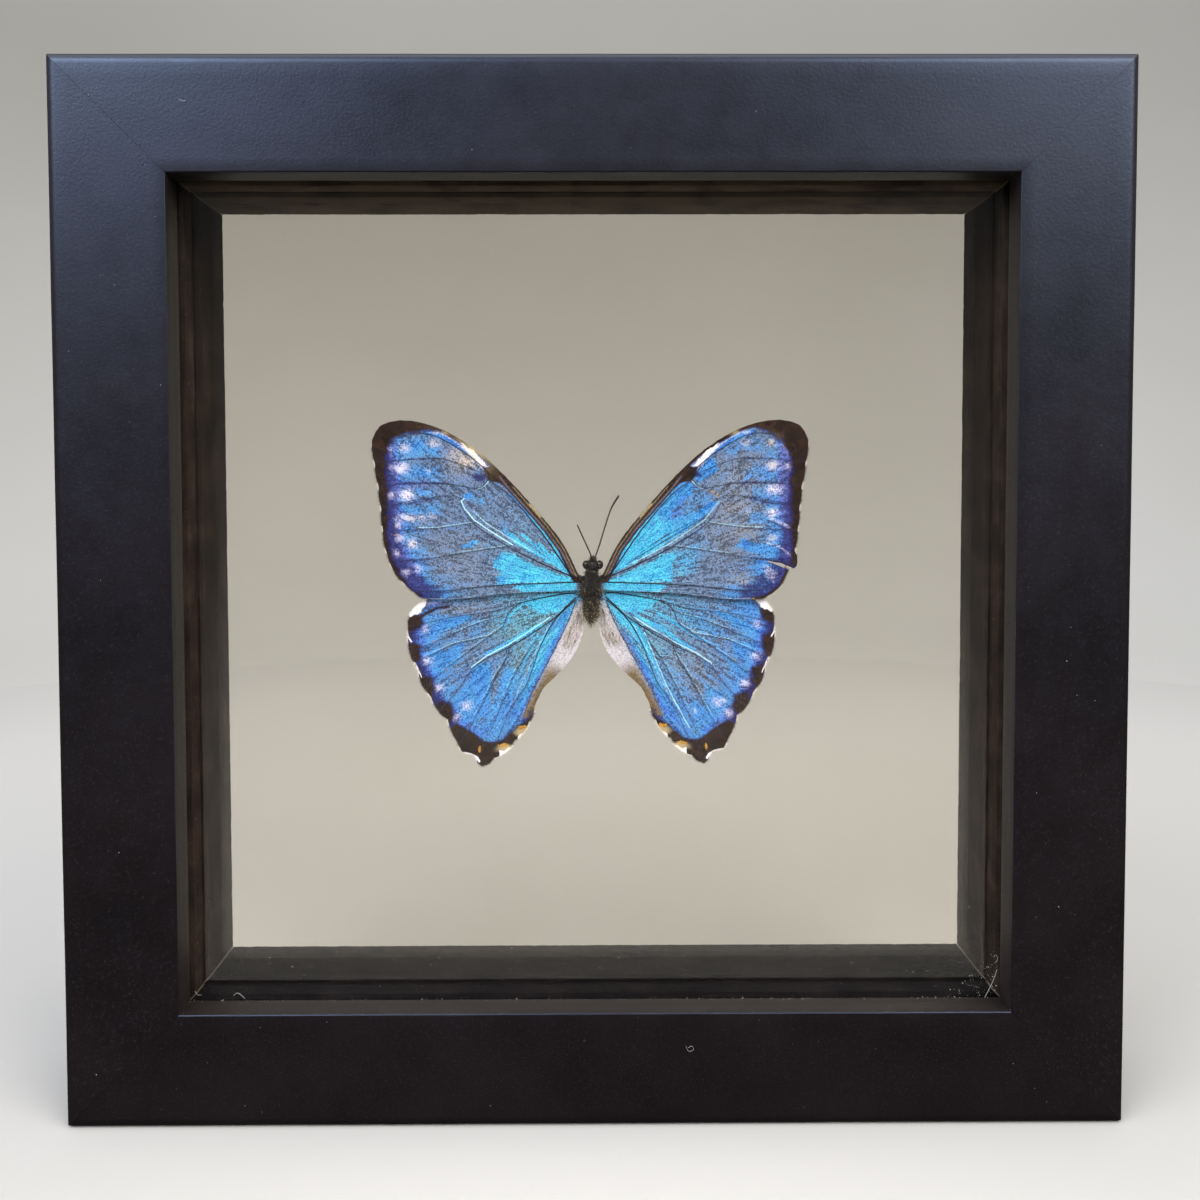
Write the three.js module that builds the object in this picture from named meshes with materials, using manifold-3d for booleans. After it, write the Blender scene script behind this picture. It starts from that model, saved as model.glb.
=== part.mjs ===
// Framed butterfly: a small blue morpho held between two panes of glass in a black box frame.
// Millimetres, +Z up. The frame stands on its bottom rail, and its front looks along -Y.
// The origin is at the middle of the bottom face.
import * as THREE from 'three';
import { mergeVertices } from 'three/addons/utils/BufferGeometryUtils.js';
import Module from 'manifold-3d';

const wasm = await Module();
wasm.setup();

// ---- driving dimensions ---------------------------------------------------------------

const FRAME_SIDE = 200; // the frame is square
const FRAME_DEPTH = 30;
const RAIL_FACE = 22; // width of the front face of a rail
const LIP_DEPTH = 6; // the lip in front of the glass
const REBATE = 5; // how far the rail's back part is cut away behind the lip
const FRONT_ROLL = 2.4; // radius of the outer front edge
const BACK_ROLL = 1; // radius of the outer back edge
const ARRIS = 0.3; // the small flat on the inner front edge
const GLASS_THICKNESS = 2;
const PANE_SPACE = 4.5; // depth of the spacer strips between the panes
const SPACER_STEP = 0.4; // how far the spacers stand in from the lip
const STOP_STEP = 1; // how far the stops stand in from the lip
const GAP = 0.3; // clearance between pieces that lie against each other

const BUTTERFLY_X = -0.8; // the thorax, measured from the middle of the frame
const BUTTERFLY_Z = 101;
const WING_THICKNESS = 0.3;
const FOREWING_Y = -5;
const HINDWING_Y = -4.1;
const BODY_Y = -4.45; // the middle of the thorax
const THORAX_HALF_DEPTH = 1.75;
const TIP_LIFT = 0.8; // how far the wing tips curve towards the front pane
const WING_REACH = 50;
const HINDWINGS_LEAN = -0.012; // the pair of hindwings sits a little askew, in radians

// ---- places that follow from them -----------------------------------------------------

const HALF = FRAME_SIDE / 2;
const FRONT_Y = -FRAME_DEPTH / 2;
const BACK_Y = FRAME_DEPTH / 2;
const LIP_EDGE = RAIL_FACE;
const REBATE_EDGE = RAIL_FACE - REBATE;
const FRONT_GLASS_Y = FRONT_Y + LIP_DEPTH + GAP;
const SPACER_Y = FRONT_GLASS_Y + GLASS_THICKNESS + GAP;
const REAR_GLASS_Y = SPACER_Y + PANE_SPACE + GAP;
const STOP_Y = REAR_GLASS_Y + GLASS_THICKNESS + GAP;

// ---- materials ------------------------------------------------------------------------

const lacquer = new THREE.MeshStandardMaterial({ color: 0x1b1819, roughness: 0.42, metalness: 0 });
const strip = new THREE.MeshStandardMaterial({ color: 0x2b2623, roughness: 0.6, metalness: 0 });
const glass = new THREE.MeshStandardMaterial({
  color: 0xdfe4dc, roughness: 0.05, metalness: 0, transparent: true, opacity: 0.3,
});
const wingScales = new THREE.MeshStandardMaterial({ color: 0x2486d0, roughness: 0.45, metalness: 0.2 });
const cuticle = new THREE.MeshStandardMaterial({ color: 0x1d1712, roughness: 0.8, metalness: 0 });
const glue = new THREE.MeshStandardMaterial({
  color: 0xd9cfae, roughness: 0.2, metalness: 0, transparent: true, opacity: 0.6,
});

// ---- helpers --------------------------------------------------------------------------

const part = new THREE.Group();

function addMesh(name, geometry, material) {
  const mesh = new THREE.Mesh(geometry, material);
  mesh.name = name;
  part.add(mesh);
  return mesh;
}

// A closed geometry as a solid that can be joined or cut.
function toSolid(geometry) {
  const bare = geometry.clone();
  bare.deleteAttribute('normal');
  bare.deleteAttribute('uv');
  const merged = mergeVertices(bare, 1e-4);
  return new wasm.Manifold(new wasm.Mesh({
    numProp: 3,
    vertProperties: new Float32Array(merged.attributes.position.array),
    triVerts: new Uint32Array(merged.index.array),
  }));
}

function toGeometry(solid) {
  const result = solid.getMesh();
  const geometry = new THREE.BufferGeometry();
  geometry.setAttribute('position', new THREE.BufferAttribute(result.vertProperties, 3));
  geometry.setIndex(new THREE.BufferAttribute(result.triVerts, 1));
  return geometry;
}

function ellipsoid(centre, radii, around, along) {
  const ball = new THREE.SphereGeometry(1, around, along);
  ball.rotateX(Math.PI / 2);
  ball.scale(radii.x, radii.y, radii.z);
  ball.translate(centre.x, centre.y, centre.z);
  return ball;
}

// ---- frame ----------------------------------------------------------------------------

// Where a rail, spacer or stop lies: turned about the middle of the frame.
const SIDES = { bottom: 0, right: Math.PI / 2, top: Math.PI, left: -Math.PI / 2 };

// A mitred strip on the bottom side. The profile holds x = how far in from the outside of
// the frame and y = how far back from its front; both ends are cut at 45 degrees.
function mitredStrip(profile) {
  const geometry = new THREE.ExtrudeGeometry(profile, { depth: 1, bevelEnabled: false, curveSegments: 5 });
  const position = geometry.attributes.position;
  for (let i = 0; i < position.count; i += 1) {
    const inward = position.getX(i);
    const backward = position.getY(i);
    const end = position.getZ(i) > 0.5 ? -1 : 1;
    position.setXYZ(i, end * (HALF - inward - GAP / 2), FRONT_Y + backward, inward - HALF);
  }
  return geometry;
}

function addFourSides(kind, profile, material) {
  for (const [side, angle] of Object.entries(SIDES)) {
    const geometry = mitredStrip(profile);
    geometry.rotateY(-angle);
    geometry.translate(0, 0, HALF);
    addMesh(`${kind}_${side}`, geometry, material);
  }
}

// The rail: a lip in front of the glass, a rebate behind it and rolled outer edges.
const rail = new THREE.Shape();
rail.moveTo(0, FRONT_ROLL);
rail.absarc(FRONT_ROLL, FRONT_ROLL, FRONT_ROLL, Math.PI, 1.5 * Math.PI, false);
rail.lineTo(LIP_EDGE - ARRIS, 0);
rail.lineTo(LIP_EDGE, ARRIS);
rail.lineTo(LIP_EDGE, LIP_DEPTH);
rail.lineTo(REBATE_EDGE, LIP_DEPTH);
rail.lineTo(REBATE_EDGE, FRAME_DEPTH);
rail.lineTo(BACK_ROLL, FRAME_DEPTH);
rail.absarc(BACK_ROLL, FRAME_DEPTH - BACK_ROLL, BACK_ROLL, Math.PI / 2, Math.PI, false);
addFourSides('rail', rail, lacquer);

// A plain strip that fills the rebate over a stretch of its depth.
function stripProfile(innerEdge, startY, endY) {
  const profile = new THREE.Shape();
  profile.moveTo(REBATE_EDGE + GAP, startY - FRONT_Y);
  profile.lineTo(innerEdge, startY - FRONT_Y);
  profile.lineTo(innerEdge, endY - FRONT_Y);
  profile.lineTo(REBATE_EDGE + GAP, endY - FRONT_Y);
  return profile;
}

addFourSides('spacer', stripProfile(LIP_EDGE + SPACER_STEP, SPACER_Y, SPACER_Y + PANE_SPACE), strip);
addFourSides('stop', stripProfile(LIP_EDGE + STOP_STEP, STOP_Y, BACK_Y), strip);

// The two panes.
const paneSide = FRAME_SIDE - 2 * (REBATE_EDGE + GAP);

function addPane(name, frontY) {
  const pane = new THREE.BoxGeometry(paneSide, GLASS_THICKNESS, paneSide);
  pane.translate(0, frontY + GLASS_THICKNESS / 2, HALF);
  addMesh(name, pane, glass);
}

addPane('front_glass', FRONT_GLASS_Y);
addPane('rear_glass', REAR_GLASS_Y);

// ---- wings ----------------------------------------------------------------------------

// Both wings are drawn as right wings: x outward and y up from the middle of the thorax.
const at = (x, y) => new THREE.Vector2(x, y);

function smoothLine(points, steps) {
  return new THREE.SplineCurve(points).getPoints(steps);
}

// A scalloped edge: a lobe from each notch to the next. Each notch after the first carries
// the bulge of the lobe that ends in it, as a share of the lobe's length.
function scallops(start, notches, steps) {
  const line = [];
  let from = start;
  for (const { to, bulge } of notches) {
    const chord = to.clone().sub(from);
    const outward = at(-chord.y, chord.x);
    for (let k = 1; k <= steps; k += 1) {
      const t = k / steps;
      const lobe = bulge * Math.sin(Math.PI * t);
      line.push(from.clone().addScaledVector(chord, t).addScaledVector(outward, lobe));
    }
    from = to;
  }
  return line;
}

// Forewing: a long front edge, a rounded apex, a nearly straight outer edge with one vein
// end about every 4.5 mm, the rear corner and the rear edge back to the thorax.
const FOREWING_HUB = at(22, 9);
const forewingFront = smoothLine([
  at(2.4, 2.6), at(4.9, 8), at(8, 12.3), at(15, 20.3), at(21.8, 26.7), at(28.9, 30.9),
  at(35.2, 32.4), at(39.9, 31.5), at(41.7, 28.7),
], 28);
const forewingEdge = scallops(at(41.7, 28.7), [
  { to: at(41.2, 24.2), bulge: 0.05 }, { to: at(40.5, 19.8), bulge: 0.05 },
  { to: at(40.1, 15.6), bulge: 0.05 }, { to: at(39.8, 11.6), bulge: 0.05 },
  { to: at(39.3, 7.4), bulge: 0.05 },
], 4);
const forewingRear = [at(24.8, -1.8), at(15.8, -0.8), at(4.8, -0.3), at(2.5, 0.2)];
const wholeCorner = smoothLine([
  at(38.6, 5.2), at(37.4, 2.8), at(35.8, 1), at(33.8, -0.7), at(31.7, -1.8), ...forewingRear,
], 20);
const TEAR_TIP = at(33.7, 5.4);
const tornCorner = [
  at(39.8, 6), at(39.7, 4.4), at(39.2, 3.9), TEAR_TIP,
  ...smoothLine([at(38.1, 3.7), at(36.7, 0.6), at(34, -1.5), at(31.2, -2.1), ...forewingRear], 20),
];

// Hindwing: its front edge lies hidden behind the forewing, the outer edge has deeper lobes
// down to the short blunt tail, and the inner edge runs back up beside the abdomen.
const HINDWING_HUB = at(19, -14);
const hindwingFront = smoothLine([at(2.6, -1.6), at(5, 1.2), at(16, 2.4), at(27, 1.6), at(32.1, -1.9)], 12);
const hindwingEdge = scallops(at(32.1, -1.9), [
  { to: at(35.4, -8), bulge: 0.19 }, { to: at(33.6, -15.4), bulge: 0.1 },
  { to: at(31.2, -20.7), bulge: 0.1 }, { to: at(28.1, -25.1), bulge: 0.1 },
  { to: at(26.4, -29.4), bulge: 0.06 }, { to: at(23.9, -31.9), bulge: 0.3 },
  { to: at(19, -33), bulge: 0.45 }, { to: at(15.1, -29.8), bulge: 0.15 },
  { to: at(11.2, -24.4), bulge: 0.06 },
], 5);
const hindwingInner = smoothLine([
  at(11.2, -24.4), at(10.6, -22), at(8.7, -19), at(6.1, -16.9), at(3.9, -15), at(2.4, -11.5),
  at(1.5, -8.3), at(1.7, -5), at(2.6, -1.6),
], 16);
const hindwing = [...hindwingFront, ...hindwingEdge, ...hindwingInner.slice(1, -1)];

// How far forward the wing surface curves at a distance from the thorax.
function lift(point) {
  const reach = point.length() / WING_REACH;
  return TIP_LIFT * reach * reach;
}

// A thin curved plate inside an outline: rings of points between the hub and the outline,
// once for the front surface and once for the back.
function wingPlate(outline, hub, middleY) {
  const rings = [0.4, 0.72, 1];
  const count = outline.length;
  const positions = [];
  const index = [];
  for (const side of [-1, 1]) {
    const place = (p) => positions.push(p.x, middleY - lift(p) + side * WING_THICKNESS / 2, p.y);
    place(hub);
    for (const ring of rings) {
      outline.forEach((p) => place(hub.clone().lerp(p, ring)));
    }
  }
  const perSide = 1 + rings.length * count;
  const triangle = (a, b, c, flip) => (flip ? index.push(a, c, b) : index.push(a, b, c));
  for (const [start, flip] of [[0, false], [perSide, true]]) {
    for (let i = 0; i < count; i += 1) {
      const next = (i + 1) % count;
      triangle(start, start + 1 + next, start + 1 + i, flip);
      for (let r = 0; r + 1 < rings.length; r += 1) {
        const inner = start + 1 + r * count;
        const outer = inner + count;
        triangle(inner + i, inner + next, outer + i, flip);
        triangle(inner + next, outer + next, outer + i, flip);
      }
    }
  }
  const rim = 1 + (rings.length - 1) * count;
  for (let i = 0; i < count; i += 1) {
    const next = (i + 1) % count;
    triangle(rim + i, rim + next, perSide + rim + i, false);
    triangle(rim + next, perSide + rim + next, perSide + rim + i, false);
  }
  const geometry = new THREE.BufferGeometry();
  geometry.setAttribute('position', new THREE.Float32BufferAttribute(positions, 3));
  geometry.setIndex(index);
  return geometry;
}

// The left wings are the right ones mirrored, with their faces turned out again.
function mirrored(geometry) {
  const copy = geometry.clone();
  copy.scale(-1, 1, 1);
  const order = Array.from(copy.index.array);
  for (let i = 0; i < order.length; i += 3) {
    [order[i + 1], order[i + 2]] = [order[i + 2], order[i + 1]];
  }
  copy.setIndex(order);
  return copy;
}

function addWing(name, geometry, lean) {
  const wing = addMesh(name, geometry, wingScales);
  wing.position.set(BUTTERFLY_X, 0, BUTTERFLY_Z);
  wing.rotation.y = lean;
}

const wholeForewing = wingPlate([...forewingFront, ...forewingEdge, ...wholeCorner], FOREWING_HUB, FOREWING_Y);
const tornForewing = wingPlate([...forewingFront, ...forewingEdge, ...tornCorner], FOREWING_HUB, FOREWING_Y);
const bothHindwings = wingPlate(hindwing, HINDWING_HUB, HINDWING_Y);

addWing('forewing_left', mirrored(wholeForewing), 0);
addWing('forewing_right', tornForewing, 0);
addWing('hindwing_left', mirrored(bothHindwings), HINDWINGS_LEAN);
addWing('hindwing_right', bothHindwings, HINDWINGS_LEAN);

// ---- body -----------------------------------------------------------------------------

const V = (x, y, z) => new THREE.Vector3(x, y, z);
const ROUND = 16;

// A thin round limb along a line of points, a little thicker or thinner at each joint.
function limb(points, radius) {
  const path = new THREE.CurvePath();
  for (let i = 0; i + 1 < points.length; i += 1) {
    path.add(new THREE.LineCurve3(points[i], points[i + 1]));
  }
  let solid = null;
  path.curves.forEach((segment, i) => {
    const rod = new THREE.CylinderGeometry(radius * 0.8, radius, segment.getLength(), 6);
    const turn = new THREE.Quaternion();
    turn.setFromUnitVectors(V(0, 1, 0), segment.v2.clone().sub(segment.v1).normalize());
    rod.applyQuaternion(turn);
    const middle = segment.v1.clone().lerp(segment.v2, 0.5);
    rod.translate(middle.x, middle.y, middle.z);
    const knee = ellipsoid(segment.v1, V(radius, radius, radius), 6, 4);
    const piece = toSolid(rod).add(toSolid(knee));
    solid = i === 0 ? piece : solid.add(piece);
  });
  return solid;
}

// Head, thorax, abdomen, eyes and palps grown together, with the four walking legs folded
// behind the thorax.
let body = toSolid(ellipsoid(V(0, BODY_Y, 0.2), V(2.15, THORAX_HALF_DEPTH, 3.1), ROUND, 12));
body = body.add(toSolid(ellipsoid(V(0.6, BODY_Y - 0.1, 4), V(1.35, 1.3, 1.3), ROUND, 10)));
for (const side of [-1, 1]) {
  body = body.add(toSolid(ellipsoid(V(0.6 + 1.15 * side, BODY_Y - 0.1, 4.2), V(0.75, 0.9, 0.95), 12, 8)));
  body = body.add(toSolid(ellipsoid(V(0.6 + 0.35 * side, BODY_Y + 0.1, 5.3), V(0.25, 0.35, 0.75), 8, 6)));
}
const abdomenProfile = [
  at(0, -6.7), at(0.45, -6.4), at(1, -5.2), at(1.45, -3.6), at(1.5, -2), at(1, -0.6), at(0, 0),
];
const abdomen = new THREE.LatheGeometry(abdomenProfile, ROUND);
abdomen.rotateX(Math.PI / 2);
abdomen.translate(0.1, BODY_Y + 0.05, 0);
body = body.add(toSolid(abdomen));
const LEG_RADIUS = 0.2;
const LEG_Y = BODY_Y + 1.35;
for (const side of [-1, 1]) {
  for (const rank of [0, 1]) {
    const hip = V(0.8 * side, LEG_Y - 0.2, 1.6 - 2.2 * rank);
    const knee = V(3.7 * side, LEG_Y + 0.3, 2.9 - 2.4 * rank);
    const ankle = V(1.7 * side, LEG_Y + 0.6, -1.9 - 2.3 * rank);
    const toe = V(2.6 * side, LEG_Y + 0.5, -4.4 - 2.6 * rank);
    body = body.add(limb([hip, knee, ankle, toe], LEG_RADIUS));
  }
}
const bodyMesh = addMesh('body', toGeometry(body), cuticle);
bodyMesh.position.set(BUTTERFLY_X, 0, BUTTERFLY_Z);

// Antennae: the left one is broken short, the right one ends in its thin club.
const ANTENNA_Y = BODY_Y - 0.3;
const ANTENNA_RADIUS = 0.16;
const CLUB_RADIUS = 0.28;

function addAntenna(name, points, clubFrom) {
  const curve = new THREE.CatmullRomCurve3(points.map(([x, z]) => V(x, ANTENNA_Y, z)));
  const steps = 14;
  const around = 6;
  const positions = [];
  const index = [];
  for (let i = 0; i <= steps; i += 1) {
    const t = i / steps;
    const centre = curve.getPoint(t);
    const along = curve.getTangent(t);
    const across = V(0, 1, 0).cross(along).normalize();
    const swell = THREE.MathUtils.smoothstep(t, clubFrom, 1);
    const radius = THREE.MathUtils.lerp(ANTENNA_RADIUS, CLUB_RADIUS, swell);
    for (let k = 0; k < around; k += 1) {
      const angle = (2 * Math.PI * k) / around;
      const offset = across.clone().multiplyScalar(Math.cos(angle) * radius);
      offset.addScaledVector(V(0, 1, 0), Math.sin(angle) * radius);
      positions.push(...centre.clone().add(offset).toArray());
    }
  }
  for (let i = 0; i < steps; i += 1) {
    for (let k = 0; k < around; k += 1) {
      const a = i * around + k;
      const b = i * around + ((k + 1) % around);
      index.push(a, b, a + around, b, b + around, a + around);
    }
  }
  for (let k = 1; k + 1 < around; k += 1) {
    const last = steps * around;
    index.push(0, k + 1, k, last, last + k, last + k + 1);
  }
  const geometry = new THREE.BufferGeometry();
  geometry.setAttribute('position', new THREE.Float32BufferAttribute(positions, 3));
  geometry.setIndex(index);
  const antenna = addMesh(name, geometry, cuticle);
  antenna.position.set(BUTTERFLY_X, 0, BUTTERFLY_Z);
}

addAntenna('antenna_left', [[0.1, 6.5], [-1.2, 9.3], [-2.6, 12.4]], 2);
addAntenna('antenna_right', [[1.2, 6.5], [1.7, 8.4], [2.8, 12], [4, 15.5], [5.5, 18]], 0.72);

// ---- glue -----------------------------------------------------------------------------

// A flat drop of clear glue between the underside of the thorax and the rear pane.
const GLUE_RADIUS = 1.2;
const glueBackY = REAR_GLASS_Y - GAP / 2;
const glueFrontY = BODY_Y + THORAX_HALF_DEPTH + GAP;
const glueDepth = glueBackY - glueFrontY;
const glueProfile = [at(0, 0), at(GLUE_RADIUS, 0), at(GLUE_RADIUS * 0.8, glueDepth), at(0, glueDepth)];
const drop = addMesh('glue_drop', new THREE.LatheGeometry(glueProfile, 20), glue);
drop.rotation.x = Math.PI;
drop.position.set(BUTTERFLY_X, glueBackY, BUTTERFLY_Z);

export default part;
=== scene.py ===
"""Framed butterfly: a small blue morpho between two panes of glass in a black lacquered box frame.

Shapes are drawn in millimetres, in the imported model's frame, and put into metres at the end of each piece.
"""
import math

import bmesh
import bpy
import numpy as np
from mathutils import Matrix, Vector, noise
from mathutils.geometry import delaunay_2d_cdt


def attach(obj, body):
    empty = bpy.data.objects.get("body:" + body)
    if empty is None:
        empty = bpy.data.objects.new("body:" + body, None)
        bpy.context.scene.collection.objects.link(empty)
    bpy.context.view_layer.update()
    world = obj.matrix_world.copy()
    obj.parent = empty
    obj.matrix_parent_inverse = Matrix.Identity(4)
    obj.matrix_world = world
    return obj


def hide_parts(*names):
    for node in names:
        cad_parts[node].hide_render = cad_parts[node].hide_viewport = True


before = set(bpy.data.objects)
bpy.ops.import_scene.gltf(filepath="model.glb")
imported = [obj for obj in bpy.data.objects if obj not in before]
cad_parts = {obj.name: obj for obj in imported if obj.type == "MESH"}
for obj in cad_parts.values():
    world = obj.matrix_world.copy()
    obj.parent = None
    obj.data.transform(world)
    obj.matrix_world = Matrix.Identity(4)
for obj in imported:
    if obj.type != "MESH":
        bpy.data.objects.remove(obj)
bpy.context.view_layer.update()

# ---- Studio ---------------------------------------------------------------------------
# A pale painted floor that curves up into a wall all round, two soft boxes in front, one for the wall.
# Matt paper paint scatters light evenly, so the floor carries only the frame's soft shadow.
MM = 0.001


def linear(hex_colour):
    """An sRGB hex colour as linear red, green, blue and alpha."""
    parts = [int(hex_colour[i:i + 2], 16) / 255 for i in (1, 3, 5)]
    return tuple(c / 12.92 if c <= 0.04045 else ((c + 0.055) / 1.055) ** 2.4 for c in parts) + (1.0,)


def feed(tree, node, inputs):
    """Sets a node's inputs: values, hex colours, sockets, or nodes, whose first output is meant."""
    for key, value in inputs.items():
        if isinstance(value, bpy.types.Node):
            value = next(s for s in value.outputs if not s.is_unavailable)
        if isinstance(value, bpy.types.NodeSocket):
            tree.links.new(value, node.inputs[key])
        else:
            is_colour = isinstance(value, str) and value.startswith("#")
            node.inputs[key].default_value = linear(value) if is_colour else value


def add(tree, kind, settings=None, inputs=None):
    """Adds a node with its settings and links. The setting stops holds a ramp's (position, colour) pairs."""
    node = tree.nodes.new(kind)
    for name, value in (settings or {}).items():
        if name != "stops":
            setattr(node, name, value)
            continue
        elements = node.color_ramp.elements
        while len(elements) < len(value):
            elements.new(0.5)
        for element, (position, colour) in zip(elements, value):
            element.position = position
            element.color = linear(colour)
    feed(tree, node, inputs or {})
    return node


def new_material(name):
    """A material with its tree and its shader, which is still to be fed."""
    material = bpy.data.materials.new(name)
    material.use_nodes = True
    tree = material.node_tree
    tree.nodes.clear()
    shader = add(tree, "ShaderNodeBsdfPrincipled")
    add(tree, "ShaderNodeOutputMaterial", inputs={"Surface": shader})
    return material, tree, shader


def new_piece(name, vertices, faces, edges=()):
    mesh = bpy.data.meshes.new(name)
    mesh.from_pydata(vertices, edges, faces)
    piece = bpy.data.objects.new(name, mesh)
    bpy.context.collection.objects.link(piece)
    return piece


def ring_faces(rings, around):
    """The quads between so many closed rings of points."""
    faces = []
    for ring in range(rings - 1):
        for k in range(around):
            a = ring * around + k
            b = ring * around + (k + 1) % around
            faces.append((a, b, b + around, a + around))
    return faces


paper_paint, tree, shader = new_material("matt_paper_paint")
where = add(tree, "ShaderNodeTexCoord")
mottle = add(tree, "ShaderNodeTexNoise",
             inputs={"Vector": where.outputs["Object"], "Scale": 3.0, "Detail": 3.0})
paint_colour = add(tree, "ShaderNodeValToRGB", {"stops": [(0.3, "#bdbbb6"), (0.7, "#c2c0bc")]},
                   {"Fac": mottle})
feed(tree, shader, {"Base Color": paint_colour, "Roughness": 0.9})

FLOOR_RADIUS = 0.55
COVE_RADIUS = 0.6
COVE_STEPS = 12
WALL_TOP = 1.9
AROUND = 96


def ring_stage(name, profile):
    """A surface of revolution for the studio, from (radius, height) pairs."""
    vertices = []
    for radius, height in profile:
        for k in range(AROUND):
            turn = 2 * math.pi * k / AROUND
            vertices.append((radius * math.cos(turn), radius * math.sin(turn), height))
    piece = new_piece(name, vertices, ring_faces(len(profile), AROUND))
    piece.data.materials.append(paper_paint)
    piece.data.shade_smooth()
    return piece


ring_stage("floor", [(0.001, 0), (FLOOR_RADIUS, 0)]).visible_glossy = False
cove_profile = [(FLOOR_RADIUS, 0)]
for k in range(1, COVE_STEPS + 1):
    bend = math.radians(90 * k / COVE_STEPS)
    cove_profile.append((FLOOR_RADIUS + COVE_RADIUS * math.sin(bend), COVE_RADIUS * (1 - math.cos(bend))))
cove_profile.append((FLOOR_RADIUS + COVE_RADIUS, WALL_TOP))
cove = ring_stage("cove", cove_profile)
cove.visible_glossy = False
cove.visible_shadow = False
cove.visible_diffuse = False

# The room's own light: cool from above, and dim in front so that the panes stay clear.
world = bpy.data.worlds.new("room_light")
world.use_nodes = True
world.node_tree.nodes.clear()
tree = world.node_tree
where = add(tree, "ShaderNodeTexCoord")
parts = add(tree, "ShaderNodeSeparateXYZ", inputs={0: where.outputs["Generated"]})
height = add(tree, "ShaderNodeMapRange", inputs={0: parts.outputs["Z"], 1: -0.2, 2: 0.9})
sky = add(tree, "ShaderNodeValToRGB", {"stops": [
    (0.0, "#4a443e"), (0.3, "#7f7d7a"), (0.65, "#b9c3d2"), (1.0, "#dfe7f5")]}, {"Fac": height})
ahead = add(tree, "ShaderNodeMapRange", inputs={0: parts.outputs["Y"], 1: -0.97, 2: -0.75, 3: 0.18, 4: 1.0})
room = add(tree, "ShaderNodeMix", {"data_type": "RGBA", "blend_type": "MULTIPLY"}, {0: 1.0, 6: sky, 7: ahead})
background = add(tree, "ShaderNodeBackground", inputs={"Color": room, "Strength": 0.55})
add(tree, "ShaderNodeOutputWorld", inputs={"Surface": background})
bpy.context.scene.world = world


def soft_box(name, place, target, width, height, power, colour, cone):
    """A soft box with a grid over it, which keeps its light within a cone of so many degrees."""
    light = bpy.data.lights.new(name, "AREA")
    light.spread = math.radians(cone)
    light.shape = "RECTANGLE"
    light.size = width
    light.size_y = height
    light.energy = power
    light.color = linear(colour)[:3]
    lamp = bpy.data.objects.new(name, light)
    bpy.context.collection.objects.link(lamp)
    lamp.location = place
    lamp.rotation_euler = (Vector(target) - Vector(place)).to_track_quat("-Z", "Y").to_euler()
    lamp.visible_camera = False
    return lamp


MIDDLE = (0, 0, 0.1)
soft_box("key_soft_box", (-0.6, -0.62, 0.8), MIDDLE, 0.85, 0.7, 3.1, "#f6f8ff", 76)
soft_box("fill_soft_box", (0.62, -0.62, 0.8), MIDDLE, 0.8, 0.7, 2.9, "#fffaf4", 76)
soft_box("wall_soft_box", (0, 0.2, 1.5), (0, 1.05, 0.5), 1.6, 0.8, 8.5, "#fffdf8", 120)

camera_data = bpy.data.cameras.new("camera")
camera_data.lens = 33.27
camera_data.sensor_width = 36
camera_data.shift_y = -0.06625
camera_data.clip_start = 0.01
camera = bpy.data.objects.new("camera", camera_data)
bpy.context.collection.objects.link(camera)
CAMERA_PLACE = (-0.00011, -0.2191, 0.1224)
CAMERA_YAW = math.radians(0.305)
CAMERA_PITCH = math.radians(2.207)
CAMERA_ROLL = math.radians(-0.11)
camera.matrix_world = (
    Matrix.Translation(CAMERA_PLACE)
    @ Matrix.Rotation(-CAMERA_YAW, 4, "Z")
    @ Matrix.Rotation(math.pi / 2 - CAMERA_PITCH, 4, "X")
    @ Matrix.Rotation(CAMERA_ROLL, 4, "Z")
)
bpy.context.scene.camera = camera
bpy.context.scene.view_settings.view_transform = "Standard"

# ---- Rails ----------------------------------------------------------------------------
# Four wooden rails with a lip in front of the glass and a rebate behind it, mitred and glued at
# the corners, then sprayed with black satin lacquer that softens the outer edges.
FRAME_HALF = 100.0
FRONT_Y = -15.0
BACK_Y = 14.99
RAIL_FACE = 22.0
LIP_DEPTH = 6.0
LIP_EASE = 0.12
REBATE_EDGE = 17.0
REBATE_EASE = 0.2
FRONT_ROLL = 2.4
BACK_ROLL = 1.0
ARRIS = 0.3
CORNER = 1.2
FACE_SET = 0.14
SIDES = ("bottom", "right", "top", "left")
# Painted light for each side: a share that lightens the dyed strips, most at the top and none at the bottom.
SIDE_PAINTED_LIGHT = {"bottom": 0.0, "right": 0.5, "top": 1.0, "left": 0.5}
MITRE_ROWS = (0.2, 0.45, 0.8, 1.2)
NEXT_CUT = (260, 90, 31)
NEXT_WAVE = 400


def arc(centre, radius, start, end, steps):
    turns = [math.radians(start + (end - start) * k / steps) for k in range(steps + 1)]
    return [(centre[0] + radius * math.cos(a), centre[1] + radius * math.sin(a)) for a in turns]


def finely(profile, longest):
    """The closed profile with its long straight runs divided."""
    result = []
    for a, b in zip(profile, profile[1:] + profile[:1]):
        count = max(1, math.ceil(math.dist(a, b) / longest))
        result += [(a[0] + (b[0] - a[0]) * k / count, a[1] + (b[1] - a[1]) * k / count) for k in range(count)]
    return result


def turned(side, x, z):
    """A point of the bottom strip, taken to the same place on another side of the frame."""
    return {"bottom": (x, z), "right": (-z, x), "top": (-x, -z), "left": (z, -x)}[side]


def make_plain(piece, place=(0, 0, 0)):
    """Turns modifiers into a plain mesh, in metres, with its place in the mesh."""
    seen = piece.evaluated_get(bpy.context.evaluated_depsgraph_get())
    mesh = bpy.data.meshes.new_from_object(seen)
    piece.modifiers.clear()
    mesh.transform(Matrix.Scale(MM, 4) @ Matrix.Translation(place))
    mesh.name = piece.name
    piece.data = mesh
    return piece


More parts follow.
